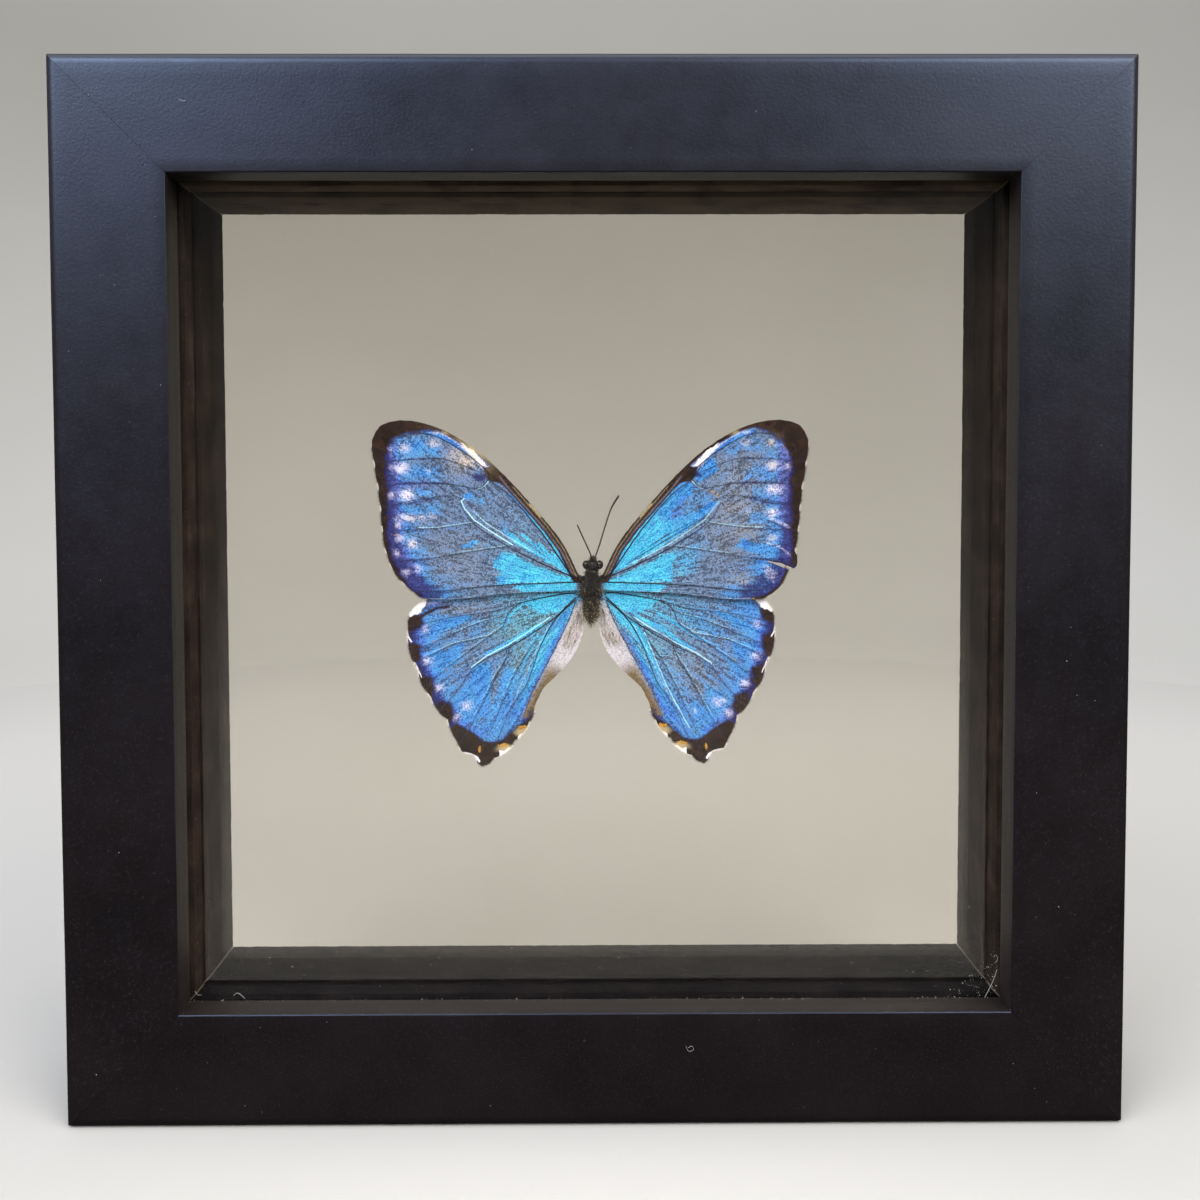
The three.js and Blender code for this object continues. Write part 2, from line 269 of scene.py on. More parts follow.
def put_numbers(mesh, name, values):
    attribute = mesh.attributes.new(name, "FLOAT", "POINT")
    attribute.data.foreach_set("value", np.asarray(values, np.float32))


def mitred_strip(name, side, profile, step, uneven, material, seam):
    """A strip along one side. Each profile point is (inward, backward) in mm; uneven moves a point.

    Every strip is cut from its own part of the grain, and its rows lie closer near the mitres.
    """
    stations = math.ceil(2 * FRAME_HALF / step)
    shares = [2 * i / stations - 1 for i in range(stations + 1)]
    for near in MITRE_ROWS:
        shares += [1 - near / FRAME_HALF, near / FRAME_HALF - 1]
    shares.sort()
    number = SIDES.index(side)
    run = [0.0]
    for a, b in zip(profile, profile[1:]):
        run.append(run[-1] + math.dist(a, b))
    vertices = []
    grain = []
    joint = []
    for share in shares:
        for (inward, backward), around in zip(profile, run):
            reach = FRAME_HALF - inward - seam
            along = share * reach
            off_in, off_back = uneven(along + NEXT_WAVE * number, inward, backward)
            out_along, out_in = abs(along) - FRAME_HALF + CORNER, CORNER - inward - off_in
            over = math.hypot(out_along, out_in)
            if out_along > 0 and out_in > 0 and over > CORNER:
                along = math.copysign(FRAME_HALF - CORNER + out_along * CORNER / over, along)
                off_in = CORNER - out_in * CORNER / over - inward
            x, z = turned(side, along, inward + off_in - FRAME_HALF)
            vertices.append((x, FRONT_Y + backward + off_back, z + FRAME_HALF))
            grain += (along + NEXT_CUT[0] * number, around + NEXT_CUT[1] * number, NEXT_CUT[2] * number)
            joint.append(reach - abs(along))
    count = len(profile)
    faces = [tuple(range(count)), tuple(range(len(vertices) - count, len(vertices)))[::-1]]
    faces += [(a, d, c, b) for a, b, c, d in ring_faces(len(shares), count)]
    piece = new_piece(name, vertices, faces)
    attribute = piece.data.attributes.new("grain", "FLOAT_VECTOR", "POINT")
    attribute.data.foreach_set("vector", grain)
    put_numbers(piece.data, "joint", joint)
    # The side's share of painted light, read by the dyed strips' colour.
    put_numbers(piece.data, "faded", [SIDE_PAINTED_LIGHT[side]] * len(joint))
    shell = bmesh.new()
    shell.from_mesh(piece.data)
    bmesh.ops.recalc_face_normals(shell, faces=shell.faces)
    shell.to_mesh(piece.data)
    shell.free()
    piece.data.transform(Matrix.Scale(MM, 4))
    piece.data.shade_smooth()
    piece.data.set_sharp_from_angle(angle=math.radians(40))
    piece.data.materials.append(material)
    return piece


# Black nitrocellulose lacquer, sprayed and left satin: a faint open grain along the rail, fine orange
# peel and a rubbed sheen. It looks near black from the front and slate grey where it catches the light,
# and its reflections carry a painted blue tint that stands in for cool light from above.
satin_lacquer, tree, shader = new_material("sprayed_satin_lacquer")
grain = add(tree, "ShaderNodeAttribute", {"attribute_name": "grain"}).outputs["Vector"]
PEEL_SIZE = 0.55
PORE_SIZE = 0.4
SMEARS_PER_MM = 0.16
CLOUDS_PER_MM = 0.035
MIX = {"data_type": "RGBA"}
peel = add(tree, "ShaderNodeTexNoise",
           inputs={"Vector": grain, "Scale": 1 / PEEL_SIZE, "Detail": 2.0, "Roughness": 0.55})
pores = add(tree, "ShaderNodeTexNoise",
            inputs={"Vector": grain, "Scale": 1 / PORE_SIZE, "Detail": 2.0, "Roughness": 0.6})
clouds = add(tree, "ShaderNodeTexNoise",
             inputs={"Vector": grain, "Scale": CLOUDS_PER_MM, "Detail": 4.0, "Roughness": 0.6})
smears = add(tree, "ShaderNodeTexNoise",
             inputs={"Vector": grain, "Scale": SMEARS_PER_MM, "Detail": 5.0, "Roughness": 0.7})
body_colour = add(tree, "ShaderNodeValToRGB", {"stops": [(0.3, "#130c09"), (0.7, "#1b120e")]},
                  {"Fac": clouds})
dusty = add(tree, "ShaderNodeMapRange", inputs={0: pores, 1: 0.58, 2: 0.74, 4: 0.55})
lacquer_colour = add(tree, "ShaderNodeMix", MIX, {0: dusty, 6: body_colour, 7: "#35302f"})
rub = add(tree, "ShaderNodeMapRange", inputs={0: smears, 1: 0.3, 2: 0.7, 3: -0.025, 4: 0.045})
sheen_change = add(tree, "ShaderNodeMath", {"operation": "MULTIPLY_ADD"}, {0: clouds, 1: 0.1, 2: 0.31})
sheen_change = add(tree, "ShaderNodeMath", {"operation": "ADD"}, {0: sheen_change, 1: rub})
relief = add(tree, "ShaderNodeMath", {"operation": "MULTIPLY_ADD"}, {0: pores, 1: 0.45, 2: peel})
lacquer_bump = add(tree, "ShaderNodeBump", inputs={"Strength": 0.5, "Distance": 0.000045, "Height": relief})
# Painted tint: the specular tint colours the sheen blue, in place of cool light from above.
feed(tree, shader, {
    "Base Color": lacquer_colour, "Roughness": sheen_change, "IOR": 1.5, "Specular IOR Level": 0.8,
    "Specular Tint": "#b7d2ff", "Normal": lacquer_bump})

# The lip's edge beside the opening caught only the overspray: the same black, dull and slightly dusty.
dull_overspray, tree, shader = new_material("dull_overspray_on_lip")
grain = add(tree, "ShaderNodeAttribute", {"attribute_name": "grain"}).outputs["Vector"]
mist = add(tree, "ShaderNodeTexNoise",
           inputs={"Vector": grain, "Scale": 1 / PORE_SIZE, "Detail": 3.0, "Roughness": 0.6})
mist_colour = add(tree, "ShaderNodeValToRGB", {"stops": [
    (0.35, "#15100e"), (0.6, "#1e1815"), (0.75, "#39332f")]}, {"Fac": mist})
mist_rough = add(tree, "ShaderNodeMapRange", inputs={0: mist, 1: 0.3, 2: 0.7, 3: 0.42, 4: 0.6})
mist_bump = add(tree, "ShaderNodeBump", inputs={"Strength": 0.4, "Distance": 0.00004, "Height": mist})
feed(tree, shader, {
    "Base Color": mist_colour, "Roughness": mist_rough, "IOR": 1.5, "Specular IOR Level": 0.25,
    "Normal": mist_bump})

DEPTH = BACK_Y - FRONT_Y
rail_profile = arc((FRONT_ROLL, FRONT_ROLL + FACE_SET), FRONT_ROLL, 180, 270, 10)
rail_profile += arc((RAIL_FACE - ARRIS, ARRIS + FACE_SET), ARRIS, 270, 360, 5)
rail_profile += arc((RAIL_FACE - LIP_EASE, LIP_DEPTH - LIP_EASE), LIP_EASE, 0, 90, 3)
rail_profile += [(REBATE_EDGE, LIP_DEPTH)]
rail_profile += arc((REBATE_EDGE - REBATE_EASE, DEPTH - REBATE_EASE), REBATE_EASE, 0, 90, 3)
rail_profile += arc((BACK_ROLL, DEPTH - BACK_ROLL), BACK_ROLL, 90, 180, 5)
rail_profile = finely(rail_profile, 2.5)


def hand_sanded(along, inward, backward):
    """Sanding leaves the faces a few hundredths of a millimetre out of true, never proud."""
    wave = abs(noise.noise(Vector((along / 38, inward / 11, backward / 11))))
    fine = noise.noise(Vector((along / 6, inward / 5, backward / 5)))
    if inward < 2:
        return 0.06 * wave, 0.0
    if inward > RAIL_FACE - 1 and backward < LIP_DEPTH - 0.2:
        return -0.05 * wave - 0.02 * fine, 0.0
    return 0.0, (0.06 * wave if backward < 1 else 0.0)


for side in SIDES:
    seam = 0.03 if side in ("top", "left") else 0.012
    rail = mitred_strip(f"lacquered_rail_{side}", side, rail_profile, 2.5, hand_sanded, satin_lacquer, seam)
    rail.data.materials.append(dull_overspray)
    for face in rail.data.polygons:
        inset = FRAME_HALF * MM - max(abs(face.center.x), abs(face.center.z - FRAME_HALF * MM))
        if inset > (RAIL_FACE - 0.1) * MM and face.center.y > (FRONT_Y + 0.6) * MM:
            face.material_index = 1
    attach(rail, "root")
    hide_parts(f"rail_{side}")

# ---- Spacers and stops ----------------------------------------------------------------
# Plain dyed wooden strips. The spacers lie between the panes and hold them apart; the stops are
# pressed in behind the rear pane, and their sawn back edge is a little ragged.
SPACER_EDGE = 22.4
SPACER_FRONT, SPACER_BACK = 8.6, 13.1
STOP_EDGE = 23.0
STOP_FRONT, STOP_BACK = 15.7, 29.98
STRIP_OUTER = 17.3
STRIP_EASE = 0.12

# Softwood dyed with black water stain, unvarnished: matt, slightly brown where the dye is thin,
# with the grain still to be seen along each strip. Over the dye each side carries painted light: the top
# strips are painted lighter and the bottom ones darker, standing in for how the light falls on them.
dyed_softwood, tree, shader = new_material("dyed_softwood")
grain = add(tree, "ShaderNodeAttribute", {"attribute_name": "grain"}).outputs["Vector"]
joint = add(tree, "ShaderNodeAttribute", {"attribute_name": "joint"}).outputs["Fac"]
faded = add(tree, "ShaderNodeAttribute", {"attribute_name": "faded"}).outputs["Fac"]
FIBRE_WIDTH = 0.5
BLOTCHES_PER_MM = 0.12
FLUFF_PER_MM = 2.2
fibres_at = add(tree, "ShaderNodeVectorMath", {"operation": "MULTIPLY"},
                {0: grain, 1: (0.06, 1 / FIBRE_WIDTH, 1.0)})
fibres = add(tree, "ShaderNodeTexNoise",
             inputs={"Vector": fibres_at, "Scale": 1.0, "Detail": 4.0, "Roughness": 0.6})
blotch = add(tree, "ShaderNodeTexNoise",
             inputs={"Vector": grain, "Scale": BLOTCHES_PER_MM, "Detail": 3.0, "Roughness": 0.6})
fluff = add(tree, "ShaderNodeTexNoise",
            inputs={"Vector": grain, "Scale": FLUFF_PER_MM, "Detail": 2.0, "Roughness": 0.6})
# The dye is lightened by each side's painted light, so the top strips read lighter and the bottom ones
# darker.
dye = 0.0
for source, weight in ((blotch, 0.6), (fibres, 0.4), (faded, 0.5)):
    dye = add(tree, "ShaderNodeMath", {"operation": "MULTIPLY_ADD"}, {0: source, 1: weight, 2: dye})
dye_colour = add(tree, "ShaderNodeValToRGB", {"stops": [
    (0.42, "#0d0c0e"), (0.56, "#171517"), (0.75, "#2a2421"), (0.95, "#443b33"), (1.0, "#544a40")]},
    {"Fac": dye})
bare_wood = add(tree, "ShaderNodeMapRange", inputs={0: joint, 1: 0.16, 2: 0.02, 4: 0.75})
dye_colour = add(tree, "ShaderNodeMix", MIX, {0: bare_wood, 6: dye_colour, 7: "#8d8782"})
settled_dust = add(tree, "ShaderNodeMapRange", inputs={0: fluff, 1: 0.6, 2: 0.75, 4: 0.5})
dye_colour = add(tree, "ShaderNodeMix", MIX, {0: settled_dust, 6: dye_colour, 7: "#4f4a46"})
strip_rough = add(tree, "ShaderNodeMath", {"operation": "MULTIPLY_ADD"}, {0: fibres, 1: 0.2, 2: 0.65})
strip_bump = add(tree, "ShaderNodeBump", inputs={"Strength": 0.3, "Distance": 0.00006, "Height": fibres})
feed(tree, shader, {
    "Base Color": dye_colour, "Roughness": strip_rough, "IOR": 1.5, "Specular IOR Level": 0.0,
    "Normal": strip_bump})


def strip_profile(inner, front, back):
    eased = arc((inner - STRIP_EASE, front + STRIP_EASE), STRIP_EASE, 270, 360, 3)
    eased += arc((inner - STRIP_EASE, back - STRIP_EASE), STRIP_EASE, 0, 90, 3)
    return finely([(STRIP_OUTER, front)] + eased + [(STRIP_OUTER, back)], 1.6)


def sawn(along, inward, backward):
    """The inner back edge of a stop is broken out by the saw."""
    if inward < STOP_EDGE - 0.9 or backward < STOP_BACK - 1.2:
        return 0.0, 0.0
    bite = noise.noise(Vector((along / 1.7, 3.1, 0))) + 0.7 * noise.noise(Vector((along / 0.8, 9.2, 0)))
    return -0.16 * abs(bite), -0.18 * abs(bite)


def planed(along, inward, backward):
    return -0.03 * abs(noise.noise(Vector((along / 9, inward, backward)))), 0.0


for side in SIDES:
    spacer = mitred_strip(f"dyed_spacer_{side}", side, strip_profile(SPACER_EDGE, SPACER_FRONT, SPACER_BACK),
                          1.5, planed, dyed_softwood, 0.05)
    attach(spacer, "root")
    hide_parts(f"spacer_{side}")
    stop = mitred_strip(f"dyed_stop_{side}", side, strip_profile(STOP_EDGE, STOP_FRONT, STOP_BACK),
                        0.7, sawn, dyed_softwood, 0.07)
    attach(stop, "root")
    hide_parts(f"stop_{side}")

# ---- Panes ----------------------------------------------------------------------------
# Two panes of 2 mm float glass with ground edges, held by the lip, the spacers and the stops.
PANE_HALF = 82.7
GLASS_THICKNESS = 2.0
FRONT_GLASS_Y = -8.7
REAR_GLASS_Y = -1.6

# Soda-lime float glass: clear, a trace of warm grey through its thickness, and a faint haze of
# handling that only shows where it catches a light.
float_glass, tree, shader = new_material("float_glass")
where = add(tree, "ShaderNodeTexCoord")
wipe = add(tree, "ShaderNodeTexNoise",
           inputs={"Vector": where.outputs["Object"], "Scale": 22.0, "Detail": 4.0, "Roughness": 0.6})
haze = add(tree, "ShaderNodeMapRange", inputs={0: wipe, 1: 0.55, 2: 0.75, 4: 0.012})
glass_colour = add(tree, "ShaderNodeValToRGB", {"stops": [(0.3, "#f3f0ea"), (0.7, "#f1eee7")]}, {"Fac": wipe})
feed(tree, shader, {
    "Base Color": glass_colour, "Roughness": haze, "IOR": 1.5, "Transmission Weight": 1.0})

for name, node, front in (("front_pane", "front_glass", FRONT_GLASS_Y),
                          ("rear_pane", "rear_glass", REAR_GLASS_Y)):
    pane = new_piece(name, [], [])
    shell = bmesh.new()
    bmesh.ops.create_cube(shell, size=1.0)
    for vertex in shell.verts:
        vertex.co = (vertex.co.x * 2 * PANE_HALF,
                     front + (vertex.co.y + 0.5) * GLASS_THICKNESS,
                     FRAME_HALF + vertex.co.z * 2 * PANE_HALF)
    shell.to_mesh(pane.data)
    shell.free()
    ground = pane.modifiers.new("ground_edges", "BEVEL")
    ground.width = 0.25
    ground.segments = 3
    make_plain(pane)
    pane.data.shade_flat()
    pane.data.materials.append(float_glass)
    pane.visible_shadow = False
    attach(pane, "root")
    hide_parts(node)

# ---- Wings ----------------------------------------------------------------------------
# Two pairs of dried wings: a thin stiff membrane over raised veins, covered in small scales. The
# blue comes from fine ridges on intact scales; where they are rubbed off, slate grey shows.
BUTTERFLY = (-0.8, 0.0, 101.0)
WING_Y = {"forewing": -5.0, "hindwing": -4.1}
WING_LEAN = {"forewing": 0.0, "hindwing": -0.012}
WING_THICKNESS = 0.18
VEIN_RELIEF = 0.10
TIP_LIFT = 0.8
WING_REACH = 50.0
SCALE_ROW = 0.185
EDGE_WEAR = {"forewing": 1.0, "hindwing": 1.6}


def smooth_path(points, steps):
    """An even curve through the points."""
    points = [np.array(p, float) for p in points]
    last = len(points) - 1
    result = []
    for k in range(steps + 1):
        t = last * k / steps
        i = min(int(t), last - 1)
        t -= i
        before = points[max(i - 1, 0)]
        here, there = points[i], points[i + 1]
        after = points[min(i + 2, last)]
        start, end = (there - before) / 2, (after - here) / 2
        result.append((2 * here - 2 * there + start + end) * t ** 3
                      + (-3 * here + 3 * there - 2 * start - end) * t ** 2 + start * t + here)
    return result


def scallops(start, notches, steps):
    """A scalloped edge: one lobe to each notch, bulging by a share of its length."""
    line = []
    start = np.array(start, float)
    for x, z, bulge in notches:
        chord = np.array((x, z)) - start
        outward = np.array((-chord[1], chord[0]))
        line += [start + chord * k / steps + outward * bulge * math.sin(math.pi * k / steps)
                 for k in range(1, steps + 1)]
        start = np.array((x, z))
    return line


FOREWING_FRONT = [(1.3, 1.6), (2.5, 3.1), (4.9, 8), (8, 12.3), (15, 20.3), (21.8, 26.7), (28.9, 30.9),
                  (35.2, 32.4), (39.9, 31.5), (41.7, 28.7)]
FOREWING_NOTCHES = [(41.2, 24.2, 0.05), (40.5, 19.8, 0.05), (40.1, 15.6, 0.05), (39.8, 11.6, 0.05),
                    (39.3, 7.4, 0.05)]
FOREWING_REAR = [(24.8, -1.8), (15.8, -0.8), (4.8, -0.4), (1.3, -0.2)]
WHOLE_CORNER = [(38.6, 5.2), (37.4, 2.8), (35.8, 1), (33.8, -0.7), (31.7, -1.8)]
TORN_CORNER = [(39.8, 6), (39.7, 4.4), (39.2, 3.9), (36.6, 4.9), (33.7, 5.4)]
BELOW_TEAR = [(38.1, 3.7), (36.7, 0.6), (34, -1.5), (31.2, -2.1)]
HINDWING_FRONT = [(1.2, -0.8), (3, 0.6), (5, 1.2), (16, 2.4), (27, 1.6), (32.1, -1.9)]
HINDWING_NOTCHES = [(35.4, -8, 0.19), (33.6, -15.4, 0.1), (31.2, -20.7, 0.1), (28.1, -25.1, 0.1),
                    (26.3, -29.3, 0.06), (25.3, -31.5, 0.08), (23.1, -32, 0.03), (19.2, -32.8, 0.47),
                    (16, -30.9, 0.06), (15.3, -29.4, 0.0), (12.4, -26, 0.1), (11.5, -24.5, 0.04)]
HINDWING_INNER = [(11.5, -24.5), (10.9, -22.2), (9.2, -19.1), (6.7, -16.7), (4.6, -14.5), (2.6, -11.4),
                  (1.6, -8.3), (1.6, -5), (1.3, -2.4), (1.2, -0.8)]

forewing_edge = smooth_path(FOREWING_FRONT, 180) + scallops(FOREWING_FRONT[-1], FOREWING_NOTCHES, 16)
hindwing_edge = smooth_path(HINDWING_FRONT, 90) + scallops(HINDWING_FRONT[-1], HINDWING_NOTCHES, 18)
hindwing_edge += smooth_path(HINDWING_INNER, 90)[1:-1]
OUTLINES = {
    ("forewing", "left"): forewing_edge + smooth_path(WHOLE_CORNER + FOREWING_REAR, 120),
    ("forewing", "right"): forewing_edge + [np.array(p, float) for p in TORN_CORNER]
    + smooth_path(BELOW_TEAR + FOREWING_REAR, 110),
    ("hindwing", "left"): hindwing_edge,
    ("hindwing", "right"): hindwing_edge,
}
OUTER_EDGES = {
    "forewing": np.array(scallops(FOREWING_FRONT[-1], FOREWING_NOTCHES, 2) + smooth_path(WHOLE_CORNER, 12)),
    "hindwing": np.array(scallops(HINDWING_FRONT[-1], HINDWING_NOTCHES, 8)),
}


def line_distance(points, line):
    best = np.full(len(points), 1e9)
    for a, b in zip(line[:-1], line[1:]):
        step = b - a
        t = np.clip(((points - a) @ step) / max(step @ step, 1e-12), 0, 1)
        gap = points - a - t[:, None] * step
        best = np.minimum(best, np.hypot(gap[:, 0], gap[:, 1]))
    return best


def inside(points, polygon):
    within = np.zeros(len(points), bool)
    for a, b in zip(polygon, np.roll(polygon, -1, 0)):
        if a[1] == b[1]:
            continue
        crosses = (a[1] > points[:, 1]) != (b[1] > points[:, 1])
        edge = a[0] + (points[:, 1] - a[1]) * (b[0] - a[0]) / (b[1] - a[1])
        within ^= crosses & (points[:, 0] < edge)
    return within


def rise(low, high, values):
    """Smooth step from 0 at low to 1 at high."""
    t = np.clip((values - low) / (high - low), 0, 1)
    return t * t * (3 - 2 * t)


def wander(points, size, seed):
    """Smooth noise for each point, about -1 to 1."""
    return np.array([noise.noise(Vector((x / size, z / size, seed))) for x, z in points])


# Veins, from the thorax outwards: thickness at both ends in mm, and the path.
FOREWING_VEINS = [
    (0.30, 0.16, [(2.6, 2.2), (4.4, 3.6), (9.2, 10.6), (15.3, 17.8), (19.4, 20.9)]),
    (0.20, 0.10, [(19.4, 21.2), (19.9, 22.8), (23.7, 26), (27.6, 28.4), (30.3, 29.6), (33.5, 29.9),
                  (37, 29)]),
    (0.26, 0.12, [(2.6, 1.9), (3.4, 2.3), (9.6, 5), (15.6, 8.1), (22.3, 12.5), (25.1, 16.5)]),
    (0.24, 0.07, [(2.7, 1.3), (12, 1), (18, 0.7), (30.6, -0.4), (35, 0.4)]),
    (0.16, 0.12, [(19.7, 21), (20.6, 19.8), (22.1, 19.3)]),
    (0.09, 0.05, [(21.5, 22.6), (28, 25), (34, 25), (41, 24.4)]),
    (0.09, 0.05, [(22.1, 19.3), (29.2, 20.4), (40.2, 20)]),
    (0.09, 0.05, [(24.6, 17.3), (26.8, 18), (33, 17.3), (39.8, 15.8)]),
    (0.09, 0.05, [(22.7, 12.8), (29.5, 11.8), (39.5, 11.2)]),
    (0.10, 0.05, [(15.6, 8.2), (20.3, 7.6), (31.3, 5.9), (38.3, 5.3)]),
]
HINDWING_VEINS = [
    (0.24, 0.10, [(3, -0.9), (6, -1.1), (13, -2.5), (15.7, -4.1), (16.5, -6), (17.1, -7.2)]),
    (0.11, 0.06, [(13.6, -2.5), (18.7, -4.1), (27, -5.2), (35, -6.9)]),
    (0.09, 0.05, [(17.1, -5.2), (21.4, -6.3), (30.1, -9.9), (34.4, -11.6)]),
    (0.09, 0.05, [(17.1, -7.2), (19.8, -9), (26.6, -10.5), (33.5, -13.6)]),
    (0.09, 0.05, [(19.2, -8.8), (21.2, -10.1), (28.2, -15.2), (32.2, -18.6)]),
    (0.23, 0.06, [(3, -1.8), (6.8, -5.4), (10, -7.6), (15.7, -11.1), (20.3, -13.3), (23.3, -15.5),
                  (25.2, -18.2), (27.1, -20.6), (29.8, -23.4)]),
    (0.15, 0.06, [(15.7, -11.2), (17.1, -14.4), (18.7, -17.1), (20.1, -19.8), (22.5, -24.4), (25.6, -29.4)]),
    (0.22, 0.06, [(3, -2.3), (7, -6), (10, -11.4), (12.7, -18.5), (15.7, -22.8), (19.4, -31.6)]),
    (0.08, 0.05, [(10.5, -9.5), (14.4, -15.5), (17.2, -21.5), (20.2, -28.2)]),
    (0.14, 0.06, [(3, -2.7), (5, -7.5), (8.3, -13.8), (11.6, -20), (13.6, -25.4)]),
]
VEINS = {"forewing": FOREWING_VEINS, "hindwing": HINDWING_VEINS}

# Markings by field: (form, amount, size, softness, shapes). An area is filled and grows by its size, a line
# is twice its size wide, a spot has two half axes, a glow fades from its middle. Negative takes away.
FOREWING_MARKS = {
    "bright": [
        ("area", -0.5, 0, 1.8, [(20, 0.4), (20, 6), (30.5, 6), (31, 0.2)]),
        ("line", 1, 0.5, 0.35, [(21.6, 24.6), (24.2, 26.9), (27.6, 29), (31, 30.2)]),
        ("area", 0.98, 0, 0.4, [(2.6, 1.8), (2.8, -0.2), (12.5, -0.9), (15, 0.2), (13.5, 0.9)]),
    ],
    "dark": [
        ("line", 1, 1.45, 0.2, [(2.4, 2.6), (4.9, 8), (8, 12.3), (15, 20.3), (17.4, 22.6)]),
        ("line", 0.95, 0.4, 0.18, [(17.6, 22.9), (21.8, 26.7), (28.9, 30.9), (35.2, 32.4)]),
        ("area", 1, 0, 0.22, [(16.2, 22.3), (18.2, 24), (20.3, 23), (19.9, 21.6), (19.1, 20.9),
         (16.8, 20.4)]),
    ],
    "umber": [
        ("line", 0.85, 0.13, 0.13, [(3.2, 2.3), (5.75, 7.45), (8.85, 11.65), (15.85, 19.65), (17.4, 21.6)]),
    ],
    "cream": [
        ("line", 0.55, 0.05, 0.1, [(2.8, 2.5), (5.25, 7.8), (8.35, 12.1), (14.9, 19.7)]),
        ("line", 0.7, 0.14, 0.14, [(9.6, 13.9), (10.6, 15.2), (11.7, 16.3)]),
        ("glow", 0.5, (1, 0.5), 0, [(28, 29.8)]),
        ("line", 0.7, 0.13, 0.12, [(13, -0.6), (20, -1.4), (26, -1.9), (31.5, -1.9)]),
    ],
    "pale": [
        ("area", 1.5, 0, 0.3, [(19.5, 23.5), (20.8, 23.4), (22.7, 25.3), (24.6, 27.4), (25.6, 29),
         (21.9, 26.3)]),
        ("area", 0.6, 0, 0.5, [(23, 26), (27, 29.2), (26.6, 29.9), (23.4, 27.8)]),
        ("glow", 1, (0.9, 0.35), 0, [(28, 29.8), (29.8, 30.2)]),
        ("line", 0.85, 0.22, 0.28, [(20.6, 24.4), (24, 27.2), (27.8, 29.6)]),
        ("line", 0.6, 0.13, 0.12, [(9, -0.5), (13, -0.6), (20, -1.4), (26, -1.9), (31.5, -1.9)]),
    ],
    "hue": [
        ("line", 0.45, 0.6, 0.4, [(21.6, 24.6), (24.2, 26.9), (27.6, 29), (31, 30.2)]),
    ],
    "orange": [
        ("line", 0.8, 0.12, 0.1, [(3.7, -0.45), (4.9, -0.7), (5.2, -0.8)]),
    ],
    "dusk": [
        ("line", 0.6, 0.3, 0.35, [(30, 25), (34, 25.1), (41, 24.4)]),
        ("line", 0.8, 0.3, 0.4, [(28, 20.4), (34, 20.5), (40.2, 20)]),
        ("line", 0.8, 0.28, 0.4, [(30, 17.6), (34, 16.6), (39.8, 15.8)]),
        ("line", 0.6, 0.28, 0.4, [(31, 11.4), (39.5, 11.2)]),
        ("line", 0.7, 0.3, 0.4, [(31, 6), (38.3, 5.3)]),
    ],
    "glint": [
        ("line", 0.6, 0.1, 0.1, [(22.8, 12.9), (26.7, 12.3), (29.8, 11.9), (33, 11.9)]),
        ("line", 0.5, 0.08, 0.1, [(16.4, 8.4), (20.3, 7.9), (27, 6.9)]),
        ("line", 0.8, 0.1, 0.1, [(19.6, 20.7), (20.3, 19.9), (21.6, 19.3)]),
    ],
    # Painted shade: thin dark lines in the membrane's creases.
    "crease": [
        ("line", 0.5, 0.05, 0.07, [(8, 5.6), (14, 10), (20, 14.6)], [(28, 22.6), (33, 22.8), (38, 22.4)],
         [(28, 14.6), (33, 14.3), (38, 13.4)]),
        ("line", 0.4, 0.05, 0.07, [(7.4, 7.4), (12, 12.4), (17, 17)], [(6, 3), (12, 4.4), (20, 5.2),
         (28, 4.4)], [(20, 1.2), (27, 1.6), (34, 2.6)]),
    ],
}
